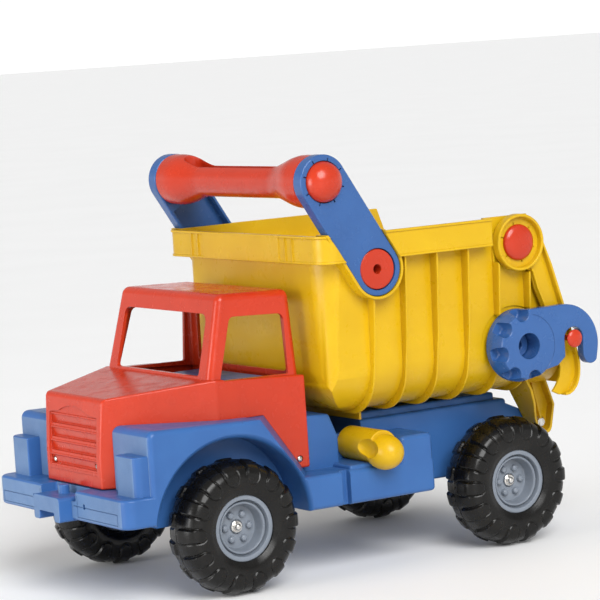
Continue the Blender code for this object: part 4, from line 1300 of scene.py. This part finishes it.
@dataclass
class Bed(Assembly):
    """The yellow tub with thin ribs, a rim band, handle pockets and hinge legs."""

    wall: float = 3.6
    gap: float = 0.4
    floor: float = 178
    ledge: float = 354
    top: float = 385
    front_x: float = 37
    rear_x: float = -300
    half: float = 159
    corner: float = 58
    band_x: float = 46.5
    band_y: float = 174
    band_end: float = -186
    rib_first: float = -23.2
    rib_pitch: float = 43.6
    ribs: int = 6
    rib_thick: float = 2.6
    arm_radius: float = 30.5
    arm_y: Span = (154.6, 171)
    leg_y: float = 94
    leg_depth: float = 14

    def tub(self, name: str, shrink: float) -> bpy.types.Object:
        """The tub's form, or its inside when shrunk by the wall.

        Args:
            name: object name.
            shrink: how far inside the outer face it lies.

        Returns:
            The closed solid.
        """
        s = shrink
        inner = s > 0
        ends, top = (60, self.top + 40) if inner else (0, self.top)
        half = self.half
        side = prism(name, Axis.Y, rounded([
            (self.front_x - s, top, 0), (self.front_x - 3 - s, self.floor + s, self.corner - s),
            (self.rear_x - ends, self.floor + s, 0), (-258 - ends, self.ledge, 0), (-248 - ends, top, 0),
        ], 14), -half - 20, half + 20)
        across = prism(name + "_across", Axis.X, mirrored(rounded([
            (0, self.floor + s, 0), (half - 8 - s, self.floor + s, self.corner - s), (half - s, 430, 0),
            (0, 430, 0),
        ], 14)[1:-1]), -400, 100)
        plan = prism(name + "_plan", Axis.Z, rounded([
            (self.front_x - s, -half + s, 38 - s), (self.front_x - s, half - s, 38 - s),
            (-400, half - s, 0), (-400, -half + s, 0),
        ], 14), 100, 450)
        return keep(side, across, plan)

    def band_plan(self, grow: float) -> list[Point]:
        """Plan outline of the rim band.

        Args:
            grow: how far it is grown outward.

        Returns:
            The outline's (x, y) points.
        """
        x, y = self.band_x + grow, self.band_y + grow
        radius = 22 + grow
        return rounded([(x, -y, radius), (x, y, radius), (self.band_end, y, 0), (self.band_end, -y, 0)], 10)

    def pocket(self, radius: float, top: float, low: Vector, high: Vector) -> list[Point]:
        """U outline round a handle arm, open at the top height.

        Args:
            radius: half of its width.
            top: height of its open end.
            low: centre of the arm's lower end.
            high: centre of the arm's upper end.

        Returns:
            The outline's (x, z) points.
        """
        along = Vector((high.x - low.x, high.z - low.z)).normalized()
        angle = math.degrees(math.atan2(along.y, along.x))
        bend = arc((low.x, low.z), radius, angle - 90, angle - 270, 40)
        first, last = Vector(bend[0]), Vector(bend[-1])
        right = first + along * ((top - first.y) / along.y)
        left = last + along * ((top - last.y) / along.y)
        return [tuple(right)] + bend + [tuple(left)]

    def leg_outline(self, inset: float, top: float) -> list[Point]:
        """Side outline of a hinge leg.

        Args:
            inset: how far its edges are drawn in.
            top: height that it reaches.

        Returns:
            The outline's (x, z) points.
        """
        return rounded([
            (-273 + (top - 138) * 0.52 - inset * 1.6, top, 0), (-273 - inset, 138, 4), (-289, 116 + inset, 8),
            (-304 + inset, 116 + inset, 8), (-311 + inset, 150, 4),
            (-311 + inset + (top - 150) * 0.35, top, 0),
        ])

    def leg(self, side: Side) -> bpy.types.Object:
        """One leg: a web with a shallow rear flange and a front flange that widens upwards.

        Args:
            side: the leg's side of the truck.

        Returns:
            The closed leg.
        """
        near, far = self.leg_y, self.leg_y + self.leg_depth
        leg = prism(f"leg_{side.word}", Axis.Y, self.leg_outline(0, 205), *side.span(near, 139))
        taper = [(near - 4, 110), (far, 110), (far, 122), (119.5, 140), (131.5, 158), (139, 175), (139, 220),
                 (near - 4, 220)]
        keep(leg, prism("leg_taper", Axis.X, [(side.value * y, z) for y, z in taper], -340, -220))
        soften(leg, 0.9, 2, 30, lambda p: p.z < 180)
        pan = prism("leg_pan", Axis.Y, self.leg_outline(2.8, 230), *side.span(near + 3.6, 150))
        behind = prism("leg_behind", Axis.Y, [
            (-228.8, 230), (-276, 138), (-291, 117), (-330, 105), (-330, 230),
        ], *side.span(far, 150))
        return cut(leg, pan, behind)

    def outer_solids(self) -> bpy.types.Object:
        """Join the tub, rim band with its lips, ribs and front panel.

        Returns:
            The bed before its inside is cut.
        """
        bed = self.tub("bed_moulding", 0)
        parts = [
            prism("band", Axis.Z, self.band_plan(0), self.ledge, self.top - 0.3),
            prism("band_lip", Axis.Z, self.band_plan(1.6), self.top - 2.9, self.top, 0.9, 2, 40),
            prism("ledge_lip", Axis.Z, self.band_plan(1.2), self.ledge - 0.6, self.ledge + 2.2, 0.8, 2, 40),
            block("front_panel", (40, self.band_x + 1.4), (-84, 84), (self.ledge + 1, self.top - 2), 0.9, 2),
        ]
        for y in (-112, -97, 97, 112):
            parts.append(block(f"front_gusset_{y}", (40, self.band_x + 1.4), (y - 1.4, y + 1.4),
                               (self.ledge + 1, self.top - 2)))
        for k in range(self.ribs):
            x = self.rib_first - self.rib_pitch * k
            outline = mirrored(rounded([
                (0, 174.4, 0), (150, 174.4, 52), (164, 260, 0), (170.5, self.ledge + 1, 0),
                (0, self.ledge + 1, 0),
            ], 14)[1:-1])
            half_thick = self.rib_thick / 2
            parts.append(prism(f"rib_{k}", Axis.X, outline, x - half_thick, x + half_thick, 0.7, 2))
        return join(bed, *parts)

    def build(self) -> None:
        """Make, colour and attach the bed."""
        low, high = node_centre("handle_plug_left"), node_centre("grip_ball_left")
        gate, knob = node_centre("gate_pivot_left"), node_centre("latch_stud_left")
        rod_end = node_centre("bed_pivot_rod")
        bed = self.outer_solids()
        legs, rooms = [], []
        for side in Side:
            rooms.append(rod(f"ring_room_{side.word}", (gate.x, gate.z), 38, side.span(158.6, 190)))
            rooms.append(rod(f"knob_room_{side.word}", (knob.x, knob.z), 45.5, side.span(152.6, 190)))
            legs.append(self.leg(side))
        cut(bed, *rooms)
        join(bed, *legs)
        inside_band = prism("band_inside", Axis.Z, self.band_plan(-self.wall), self.ledge + 3.4, 420)
        cut(bed, self.tub("bed_inside", self.wall), inside_band)
        pockets, rooms = [], []
        for side in Side:
            outline = self.pocket(self.arm_radius + 3.6, self.top + 1.2, low, high)
            depth = side.span(150.6, self.arm_y[1] + 1.4)
            pockets.append(prism(f"pocket_{side.word}", Axis.Y, outline, *depth, 0.9, 2, 50))
            room = self.pocket(self.arm_radius + self.gap, 430, low, high)
            depth = side.span(self.arm_y[0] - self.gap, 200)
            rooms.append(prism(f"arm_room_{side.word}", Axis.Y, room, *depth))
            through = side.span(100, 165)
            rooms.append(rod(f"arm_bore_{side.word}", (low.x, low.z), 12.4, through))
            rooms.append(rod(f"gate_bore_{side.word}", (gate.x, gate.z), 8.4, through, 0, 40))
            rooms.append(rod(f"stud_bore_{side.word}", (knob.x, knob.z), 8.4, through, 0, 40))
        join(bed, *pockets)
        cut(bed, *rooms)
        ribs, bores = [], []
        for side in Side:
            web, spot = self.leg_y + 3, (rod_end.x, rod_end.z)
            ribs.append(prism(f"leg_rib_{side.word}", Axis.Y, [
                (-282.4, 178), (-284.6, 178), (-295.4, 132), (-293.0, 132),
            ], *side.span(web, web + 6)))
            ribs.append(rod(f"leg_boss_{side.word}", spot, 9.5, side.span(web, web + 1.6), 0.5))
            bores.append(rod(f"leg_bore_{side.word}", spot, 4.5, side.span(80, 130), 0, 32))
        ribs.append(block("front_lip", (-39.5, -36.5), (-100, 100), (165, 182)))
        join(bed, *ribs)
        cut(bed, *bores)
        self.dress(bed, Slot.YELLOW, Body.BED.value, ["bed"])
        nut = lathe("push_nut", (rod_end.x, rod_end.z), [
            (4.1, 98.9), (7.6, 98.9), (7.6, 99.4), (6.6, 100.4), (5.6, 102.2), (4.9, 102.9),
            (4.1, 102.9),
        ], 40)
        self.dress_pair(nut, "leg_push_nut", Slot.STEEL, [Body.BASE.value], "bed_pivot_nut")


# --- Handle ---------------------------------------------------------------------------------


@dataclass
class Handle(Assembly):
    """Blue arms, the red waisted grip between them, and their red plugs and ball ends."""

    arm_radius: float = 30.5
    arm_y: Span = (154.6, 171)
    notch_count: int = 8
    grip_end: float = 30.0
    grip_waist: float = 19.5
    grip_half: float = 154.2
    grip_lip: float = 1.2
    channel_half: Point = (11.5, 122)
    hollow_reach: Span = (0.26, 0.76)

    def grip_radius(self, y: float) -> float:
        """Radius of the grip along its length.

        Args:
            y: distance from its middle.

        Returns:
            The radius there.
        """
        t = min(max((abs(y) - 78) / 60, 0.0), 1.0)
        return self.grip_waist + (self.grip_end - self.grip_waist) * t * t * (3 - 2 * t)

    def arm(self, low: Vector, high: Vector) -> bpy.types.Object:
        """The left arm with its sockets, snap notches and hollow inner face.

        Args:
            low: centre of its lower end.
            high: centre of its upper end.

        Returns:
            The closed arm.
        """
        along = Vector((high.x - low.x, high.z - low.z))
        angle = math.degrees(math.atan2(along.y, along.x))
        outline = arc((low.x, low.z), self.arm_radius, angle - 90, angle - 270, 40)
        outline += arc((high.x, high.z), self.arm_radius, angle + 90, angle - 90, 40)
        arm = prism("handle_arm", Axis.Y, outline, *self.arm_y, 1.8, 3)
        foot, width = Vector((low.x, low.z)), self.arm_radius - 3.6
        start, end = (foot + along * share for share in self.hollow_reach)
        across = Vector((-along.y, along.x)).normalized() * width
        hollow = [tuple(p) for p in (start - across, end - across, end + across, start + across)]
        tools = [prism("arm_hollow", Axis.Y, hollow, self.arm_y[0] - 5, self.arm_y[1] - 4)]
        for name, centre in (("low", low), ("high", high)):
            spot = (centre.x, centre.z)
            tools.append(rod(f"arm_seat_{name}", spot, 23.7, (160.4, 180), 0, 80))
            tools.append(rod(f"arm_hole_{name}", spot, 12.4, (140, 180), 0, 48))
        for k in range(self.notch_count):
            turn = math.tau * (k + 0.35) / self.notch_count
            slit = block(f"notch_{k}", (21, 27.2), (168.2, 180), (-0.75, 0.75))
            shift = Matrix.Translation(Vector((high.x, 0, high.z)) * MM)
            slit.data.transform(shift @ Matrix.Rotation(-turn, 4, "Y"))
            tools.append(slit)
        return cut(arm, *tools)

    def grip(self, high: Vector) -> bpy.types.Object:
        """The waisted grip with an open channel along its top.

        Args:
            high: middle of the left grip ball.

        Returns:
            The closed grip.
        """
        ys = np.linspace(-self.grip_half, self.grip_half, 73)
        skin = [(self.grip_radius(y), float(y)) for y in ys]
        lip = self.grip_lip
        skin = [(skin[0][0] - lip, skin[0][1]), (skin[0][0], skin[0][1] + lip)] + skin[1:-1] + [
            (skin[-1][0], skin[-1][1] - lip), (skin[-1][0] - lip, skin[-1][1])]
        skin = [(0, -self.grip_half)] + skin + [(0, self.grip_half)]
        grip = lathe("waisted_grip", (high.x, high.z), skin, 96)
        wide, long = self.channel_half
        plan = rounded([
            (high.x - wide, -long, wide - 0.1), (high.x + wide, -long, wide - 0.1),
            (high.x + wide, long, wide - 0.1), (high.x - wide, long, wide - 0.1),
        ], 10)
        channel = prism("grip_channel", Axis.Z, plan, high.z + 4, high.z + 60, 3.5, 4)
        sockets = [rod(f"grip_bore_{side.word}", (high.x, high.z), 12.4, side.span(140, 180), 0, 40)
                   for side in Side]
        cut(grip, channel, *sockets)
        return soften(grip, 1.6, 3, 30, lambda p: p.z > high.z + 10 and abs(p.x - high.x) < wide + 2
                      and abs(p.y) < long + 3)

    def build(self) -> None:
        """Make, colour and attach every piece of the handle."""
        low, high = node_centre("handle_plug_left"), node_centre("grip_ball_left")
        bed = [Body.BED.value]
        arm = self.arm(low, high)
        self.dress_pair(arm, "moulded_arm", Slot.BLUE, bed, "handle_arm", self.palette.arm_blue)
        plug = lathe("plug", (low.x, low.z), [
            (0, 141), (15.5, 141), (15.5, 149.8), (11.4, 149.8), (11.4, 160.8), (22.9, 160.8), (22.9, 168.6),
            (22.5, 169.6), (21.6, 170.2), (6.4, 170.4), (5.6, 170.1), (5.2, 169.2), (5.2, 152), (0, 152),
        ], 72)
        self.dress_pair(plug, "arm_plug", Slot.RED, bed, "handle_plug")
        ball = lathe("ball", (high.x, high.z), [(0, 141), (11.4, 141), (11.4, 160.8), (23.0, 160.8)]
                     + dome(168.6, 23.0, 17.8, 18), 72)
        self.dress_pair(ball, "ball_end", Slot.RED, bed, "grip_ball")
        grip = self.grip(high)
        self.dress(grip, Slot.RED, Body.BED.value, ["handle_grip"])


# --- Tailgate -------------------------------------------------------------------------------


@dataclass
class Tailgate(Assembly):
    """The swinging door between two flanged cheeks with cupped pivot rings."""

    ring: float = 33.0
    cheek_y: float = 160.3
    cheek_thick: float = 3.7
    flange_y: float = 171.4
    panel_half: float = 161.0
    cheek: Sequence[Corner] = (
        (-244.6, 316.5, 0), (-249, 299.5, 0), (-258.3, 276.1, 0), (-268, 255, 6), (-269.5, 225, 4),
        (-281, 202, 6),
        (-278.7, 190.2, 10), (-273.6, 181, 8), (-267.4, 174, 0), (-276.9, 169.3, 3), (-284.3, 169.2, 10),
        (-293.1, 172.2, 8), (-301.4, 184.1, 12), (-304.2, 207.4, 30), (-284.1, 279.5, 0), (-270.6, 324, 0),
    )
    rim: Sequence[Point] = (
        (-259.8, 354), (-271.3, 324.2), (-284.9, 279.7), (-303.4, 213.5), (-304.8, 205), (-304.6, 197),
        (-303.6, 189.5), (-301.6, 183), (-298, 176.6), (-293.2, 171.8), (-287.5, 169), (-281, 168.3),
        (-280.9, 171.3), (-286.8, 172), (-291.4, 174.2), (-295.4, 178.4), (-298.6, 184.2),
        (-300.6, 190.2), (-301.4, 197), (-301.5, 204.5), (-300.2, 212.8), (-281.8, 278.8),
        (-268.3, 323.2), (-257.4, 354),
    )
    front_rim: Sequence[Point] = (
        (-243.2, 320.5), (-245.4, 316.2), (-249.9, 299.2), (-259.2, 275.9), (-268.6, 255.2),
        (-270.8, 256.2), (-261.5, 276.8), (-252.2, 300), (-247.6, 317), (-245.8, 321.5),
    )
    rib_heights: Sequence[float] = (334, 290, 246, 202)
    panel_lean: float = 0.2355

    def cheek_solids(self, side: Side, centre: Point) -> list[bpy.types.Object]:
        """One cheek's plate, pivot cup and flanges.

        Args:
            side: the cheek's side of the truck.
            centre: the pivot's (x, z).

        Returns:
            The solids to join to the door.
        """
        root, ring = self.cheek_y + 1, self.ring
        outline = arc(centre, ring, 185, -112, 72) + rounded(self.cheek, 5)
        plate = prism(f"cheek_{side.word}", Axis.Y, outline,
                      *side.span(self.cheek_y, self.cheek_y + self.cheek_thick), 0.5, 2)
        cup = lathe(f"cup_{side.word}", centre, [(radius, side.value * y) for radius, y in (
            (ring - 4.6, root), (ring - 0.1, root), (ring - 0.1, self.flange_y - 0.9),
            (ring - 0.9, self.flange_y), (ring - 2.8, self.flange_y), (ring - 3.7, self.flange_y - 0.9),
        )], 96)
        flange = prism(f"flange_{side.word}", Axis.Y, self.rim, *side.span(root, self.flange_y), 0.7, 2)
        front = prism(f"front_flange_{side.word}", Axis.Y, self.front_rim,
                      *side.span(root, self.flange_y - 2.5), 0.6, 2)
        return [plate, cup, flange, front]

    def bores(self, side: Side, centre: Point, pin: Point) -> list[bpy.types.Object]:
        """One cheek's bores, and the notches inside its cup.

        Args:
            side: the cheek's side of the truck.
            centre: the pivot's (x, z).
            pin: the latch pin's (x, z).

        Returns:
            The solids to cut.
        """
        tools = [
            rod(f"ring_bore_{side.word}", centre, 8.4, side.span(140, 180), 0, 32),
            rod(f"pin_bore_{side.word}", pin, 3.9, side.span(140, 180), 0, 32),
            rod(f"pin_head_room_{side.word}", pin, 5.5, side.span(156, 160.1), 0, 32),
        ]
        shift = Matrix.Translation(Vector((centre[0], 0, centre[1])) * MM)
        for k in range(6):
            turn = math.tau * (k + 0.3) / 6
            slit = block(f"cup_notch_{k}", (18.5, 24.2), side.span(162.6, 168), (-0.8, 0.8))
            slit.data.transform(shift @ Matrix.Rotation(-turn, 4, "Y"))
            tools.append(slit)
        return tools

    def build(self) -> None:
        """Make, colour and attach the door, its pivot balls and its latch pins."""
        pivot, latch = node_centre("gate_pivot_left"), node_centre("latch_pin_left")
        centre, pin = (pivot.x, pivot.z), (latch.x, latch.z)
        door = prism("door", Axis.Y, [
            (-265.5, 356), (-261.5, 356), (-303.3, 178.5), (-307.3, 178.5),
        ], -self.panel_half, self.panel_half, 0.8, 2)
        parts = []
        for z in self.rib_heights:
            x = -265.5 - (356 - z) * self.panel_lean
            parts.append(block(f"door_rib_{z}", (x - 2.4, x + 1), (-152, 152), (z - 1.5, z + 1.5), 0.6, 2))
        for side in Side:
            parts += self.cheek_solids(side, centre)
        join(door, *parts)
        cut(door, *(tool for side in Side for tool in self.bores(side, centre, pin)))
        door.name = "tailgate_moulding"
        self.dress(door, Slot.YELLOW, Body.GATE.value, ["tailgate"])
        ball = lathe("gate_ball", centre, [
            (0, 148), (11.5, 148), (11.5, 151.8), (8, 152), (8, 164.4), (20.9, 164.4),
        ] + dome(165.6, 20.9, 7.0, 14), 72)
        self.dress_pair(ball, "gate_pivot_ball", Slot.RED, [Body.GATE.value], "gate_pivot")
        stud = lathe("latch_pin", pin, [
            (0, 156.5), (5, 156.5), (5, 159.9), (3.5, 159.9), (3.5, 185.8), (10.2, 185.8),
        ] + dome(187.0, 10.6, 4.2, 12), 48)
        self.dress_pair(stud, "hook_pin", Slot.RED, [Body.GATE.value], "latch_pin")


# --- Hook levers ----------------------------------------------------------------------------


@dataclass
class HookLevers(Assembly):
    """Blue fluted knobs with hooked arms that hold the tailgate's pins."""

    knob_radius: float = 42.5
    arm_y: Span = (173, 185)
    inner_y: float = 157.5
    flute_radius: float = 9.2
    flute_circle: float = 38.5
    flutes: int = 5
    flute_first: float = -100
    flute_pitch: float = 45
    bore: float = 15.2

    def outline(self) -> list[Point]:
        """Side outline of the arm, from the knob to the hook.

        Returns:
            The outline's (x, z) points.
        """
        points: list[Point] = [(-222, 276.4)]
        points += arc((-275, 229.5), 47.4, 90, 190, 30)
        points += arc((-311, 214), 10, 215, 330, 14)
        points += [(-300, 215)]
        points += arc((-286.7, 236), 13.25, 180, 0, 24)
        points += [(-273.5, 216), (-262, 207), (-240, 203), (-222, 194)]
        return points

    def build(self) -> None:
        """Make, colour and attach both levers and the studs in their bores."""
        stud_at = node_centre("latch_stud_left")
        centre = (stud_at.x, stud_at.z)
        lever = prism("lever", Axis.Y, self.outline(), *self.arm_y, 1.7, 3)
        radius = self.knob_radius
        drum = lathe("drum", centre, [
            (0, self.inner_y), (radius - 1.2, self.inner_y), (radius, self.inner_y + 1.2),
            (radius, 168), (radius - 0.7, 170), (radius - 3.4, 181.6), (radius - 4.6, 183.9),
            (radius - 7, 184.8), (0, 184.8),
        ], 96)
        join(lever, drum)
        cuts = []
        for k in range(self.flutes):
            turn = math.radians(self.flute_first + self.flute_pitch * k)
            spot = (centre[0] + self.flute_circle * math.cos(turn),
                    centre[1] + self.flute_circle * math.sin(turn))
            cuts.append(lathe(f"flute_{k}", spot, [
                (0, 165.5), (5.4, 165.5), (7.0, 166.6), (7.6, 168.5), (self.flute_radius, 183.6),
                (self.flute_radius + 3.2, 186), (self.flute_radius + 3.2, 200), (0, 200),
            ], 48))
        cuts.append(rod("knob_bore", centre, self.bore, (140, 200), 0, 64))
        ring = lathe("knob_ring", centre, [(36.2, 184.6), (36.9, 184.6), (36.9, 186), (36.2, 186)], 96)
        keep(ring, block("ring_zone", (-300, centre[0] - 8), (150, 200), (180, 300)))
        cuts.append(ring)
        cut(lever, *cuts)
        soften(lever, 1.3, 3, 40, lambda p: (
            p.y > 183.5 and math.hypot(p.x - centre[0], p.z - centre[1]) < self.bore + 1))
        bodies = [f"hook_lever_{side.word}" for side in Side]
        self.dress_pair(lever, "fluted_hook_lever", Slot.BLUE, bodies, "latch_lever", self.palette.arm_blue)
        stud = lathe("stud", centre, [
            (0, 143.6), (11, 143.6), (11, 145.6), (8, 145.8), (8, 152.9), (14.7, 153.2), (14.7, 161.6),
            (13.9, 162.4), (6.4, 162.4), (5.8, 161.8), (5.8, 156), (0, 156),
        ], 64)
        self.dress_pair(stud, "knob_stud", Slot.BLUE, [Body.BED.value], "latch_stud", self.palette.arm_blue)


# --- Frame pieces that stay, and the studio -------------------------------------------------


@dataclass
class FramePieces(Assembly):
    """Frame nodes whose shape stays and that only need a finish."""

    finishes: dict[str, Slot] = field(default_factory=lambda: {
        "front_axle": Slot.STEEL, "rear_axle": Slot.STEEL, "bed_pivot_rod": Slot.STEEL,
        "lock_shaft": Slot.STEEL, "lock_cam": Slot.BLUE,
        "front_left_spacer": Slot.TYRE, "front_right_spacer": Slot.TYRE,
        "rear_left_spacer": Slot.TYRE, "rear_right_spacer": Slot.TYRE,
    })

    def build(self) -> None:
        """Give every kept node its finish."""
        for node, slot in self.finishes.items():
            obj = frame["nodes"][node]
            for holder in obj.material_slots:
                holder.material = self.palette.for_slot(slot)
            LOG.info("%s: finished as %s", node, slot.value)


@dataclass
class Studio:
    """A wide pale floor, a pale surround, soft lights and the camera."""

    target: Corner = (-19.1, 0.0, 300.9)
    distance: float = 3345.0
    azimuth: float = 58.08
    elevation: float = 5.376
    roll: float = -3.722
    lens: float = 171.5
    shift: Point = (0.0126, -0.0004)
    floor_colour: tuple[float, float, float] = (0.93, 0.93, 0.93)
    floor_reach: float = 60.0
    surround: tuple[float, float, float, float] = (0.04, 0.3, 1.05, 0.42)
    key_power: float = 3.1
    key_spread: float = 38.0
    key_direction: Point = (76.0, 36.0)

    def floor(self) -> None:
        """The pale floor with a slightly uneven painted surface."""
        tree = NodeTree("studio_floor")
        shade = tree.remap(tree.noise(400.0, 3.0), 0.0, 1.0)
        base = self.floor_colour
        tree.link(tree.blend(shade, base, tuple(c * 0.98 for c in base)), tree.shader.inputs["Base Color"])
        tree.shader.inputs["Roughness"].default_value = 0.6
        mesh = bpy.data.meshes.new("studio_floor")
        reach = self.floor_reach
        corners = [(-reach, -reach, 0), (reach, -reach, 0), (reach, reach, 0), (-reach, reach, 0)]
        mesh.from_pydata(corners, [], [(0, 1, 2, 3)])
        plane = add_object("studio_floor", mesh)
        mesh.materials.append(tree.material)

    def lamp(self, name: str, place: Corner, size: float, power: float) -> None:
        """Add a square soft light that faces the middle of the truck.

        Args:
            name: object name.
            place: where it stands, in metres.
            size: its side, in metres.
            power: its power in watts.
        """
        data = bpy.data.lights.new(name, "AREA")
        data.shape = "SQUARE"
        data.size = size
        data.energy = power
        lamp = bpy.data.objects.new(name, data)
        bpy.context.scene.collection.objects.link(lamp)
        lamp.location = place
        aim = Vector(self.target) * MM - Vector(place)
        lamp.rotation_euler = aim.to_track_quat("-Z", "Y").to_euler()

    def lights(self) -> None:
        """A broad soft key, a low front light and an even pale surround."""
        world = bpy.data.worlds.new("studio")
        bpy.context.scene.world = world
        world.use_nodes = True
        nodes, links = world.node_tree.nodes, world.node_tree.links
        sky = nodes["Background"]
        sky.inputs["Color"].default_value = (1, 1, 1, 1)
        place, split, fade = (nodes.new(kind) for kind in (
            "ShaderNodeTexCoord", "ShaderNodeSeparateXYZ", "ShaderNodeMapRange"))
        for key, value in zip(("From Min", "From Max", "To Min", "To Max"), self.surround):
            fade.inputs[key].default_value = value
        links.new(place.outputs["Generated"], split.inputs[0])
        links.new(split.outputs["Z"], fade.inputs["Value"])
        links.new(fade.outputs["Result"], sky.inputs["Strength"])
        data = bpy.data.lights.new("broad_key", "SUN")
        data.energy = self.key_power
        data.angle = math.radians(self.key_spread)
        key = bpy.data.objects.new("broad_key", data)
        bpy.context.scene.collection.objects.link(key)
        azimuth, height = (math.radians(a) for a in self.key_direction)
        back = Vector((math.cos(height) * math.cos(azimuth), math.cos(height) * math.sin(azimuth),
                       math.sin(height)))
        key.rotation_euler = back.to_track_quat("Z", "Y").to_euler()
        self.lamp("front_softbox", (2.4, 0.1, 0.55), 1.1, 26)

    def camera(self) -> None:
        """The camera, set from its direction, distance and roll about the target."""
        azimuth, elevation, roll = (math.radians(a) for a in (self.azimuth, self.elevation, self.roll))
        back = Vector((math.cos(elevation) * math.cos(azimuth), math.cos(elevation) * math.sin(azimuth),
                       math.sin(elevation)))
        side = Vector((0, 0, 1)).cross(back).normalized()
        up = back.cross(side)
        right = side * math.cos(roll) + up * math.sin(roll)
        up = back.cross(right)
        data = bpy.data.cameras.new("studio_camera")
        data.lens = self.lens
        data.sensor_width = 36.0
        data.shift_x, data.shift_y = self.shift
        data.clip_end = 100
        camera = bpy.data.objects.new("studio_camera", data)
        bpy.context.scene.collection.objects.link(camera)
        turn = Matrix((right, up, back)).transposed().to_4x4()
        camera.matrix_world = Matrix.Translation((Vector(self.target) + back * self.distance) * MM) @ turn
        bpy.context.scene.camera = camera

    def build(self) -> None:
        """Set up the whole studio."""
        self.floor()
        self.lights()
        self.camera()
        bpy.context.scene.view_settings.view_transform = "Standard"


def main() -> None:
    """Build every sub-assembly in order and note the sizes."""
    logging.basicConfig(level=logging.INFO, format="%(name)s: %(message)s")
    Studio().build()
    palette = Palette()
    for kind in (Wheels, Chassis, Cab, LockLever, Bed, Handle, Tailgate, HookLevers, FramePieces):
        LOG.info("building %s", kind.__name__)
        kind(palette).build()


if __name__ == "__main__":
    main()
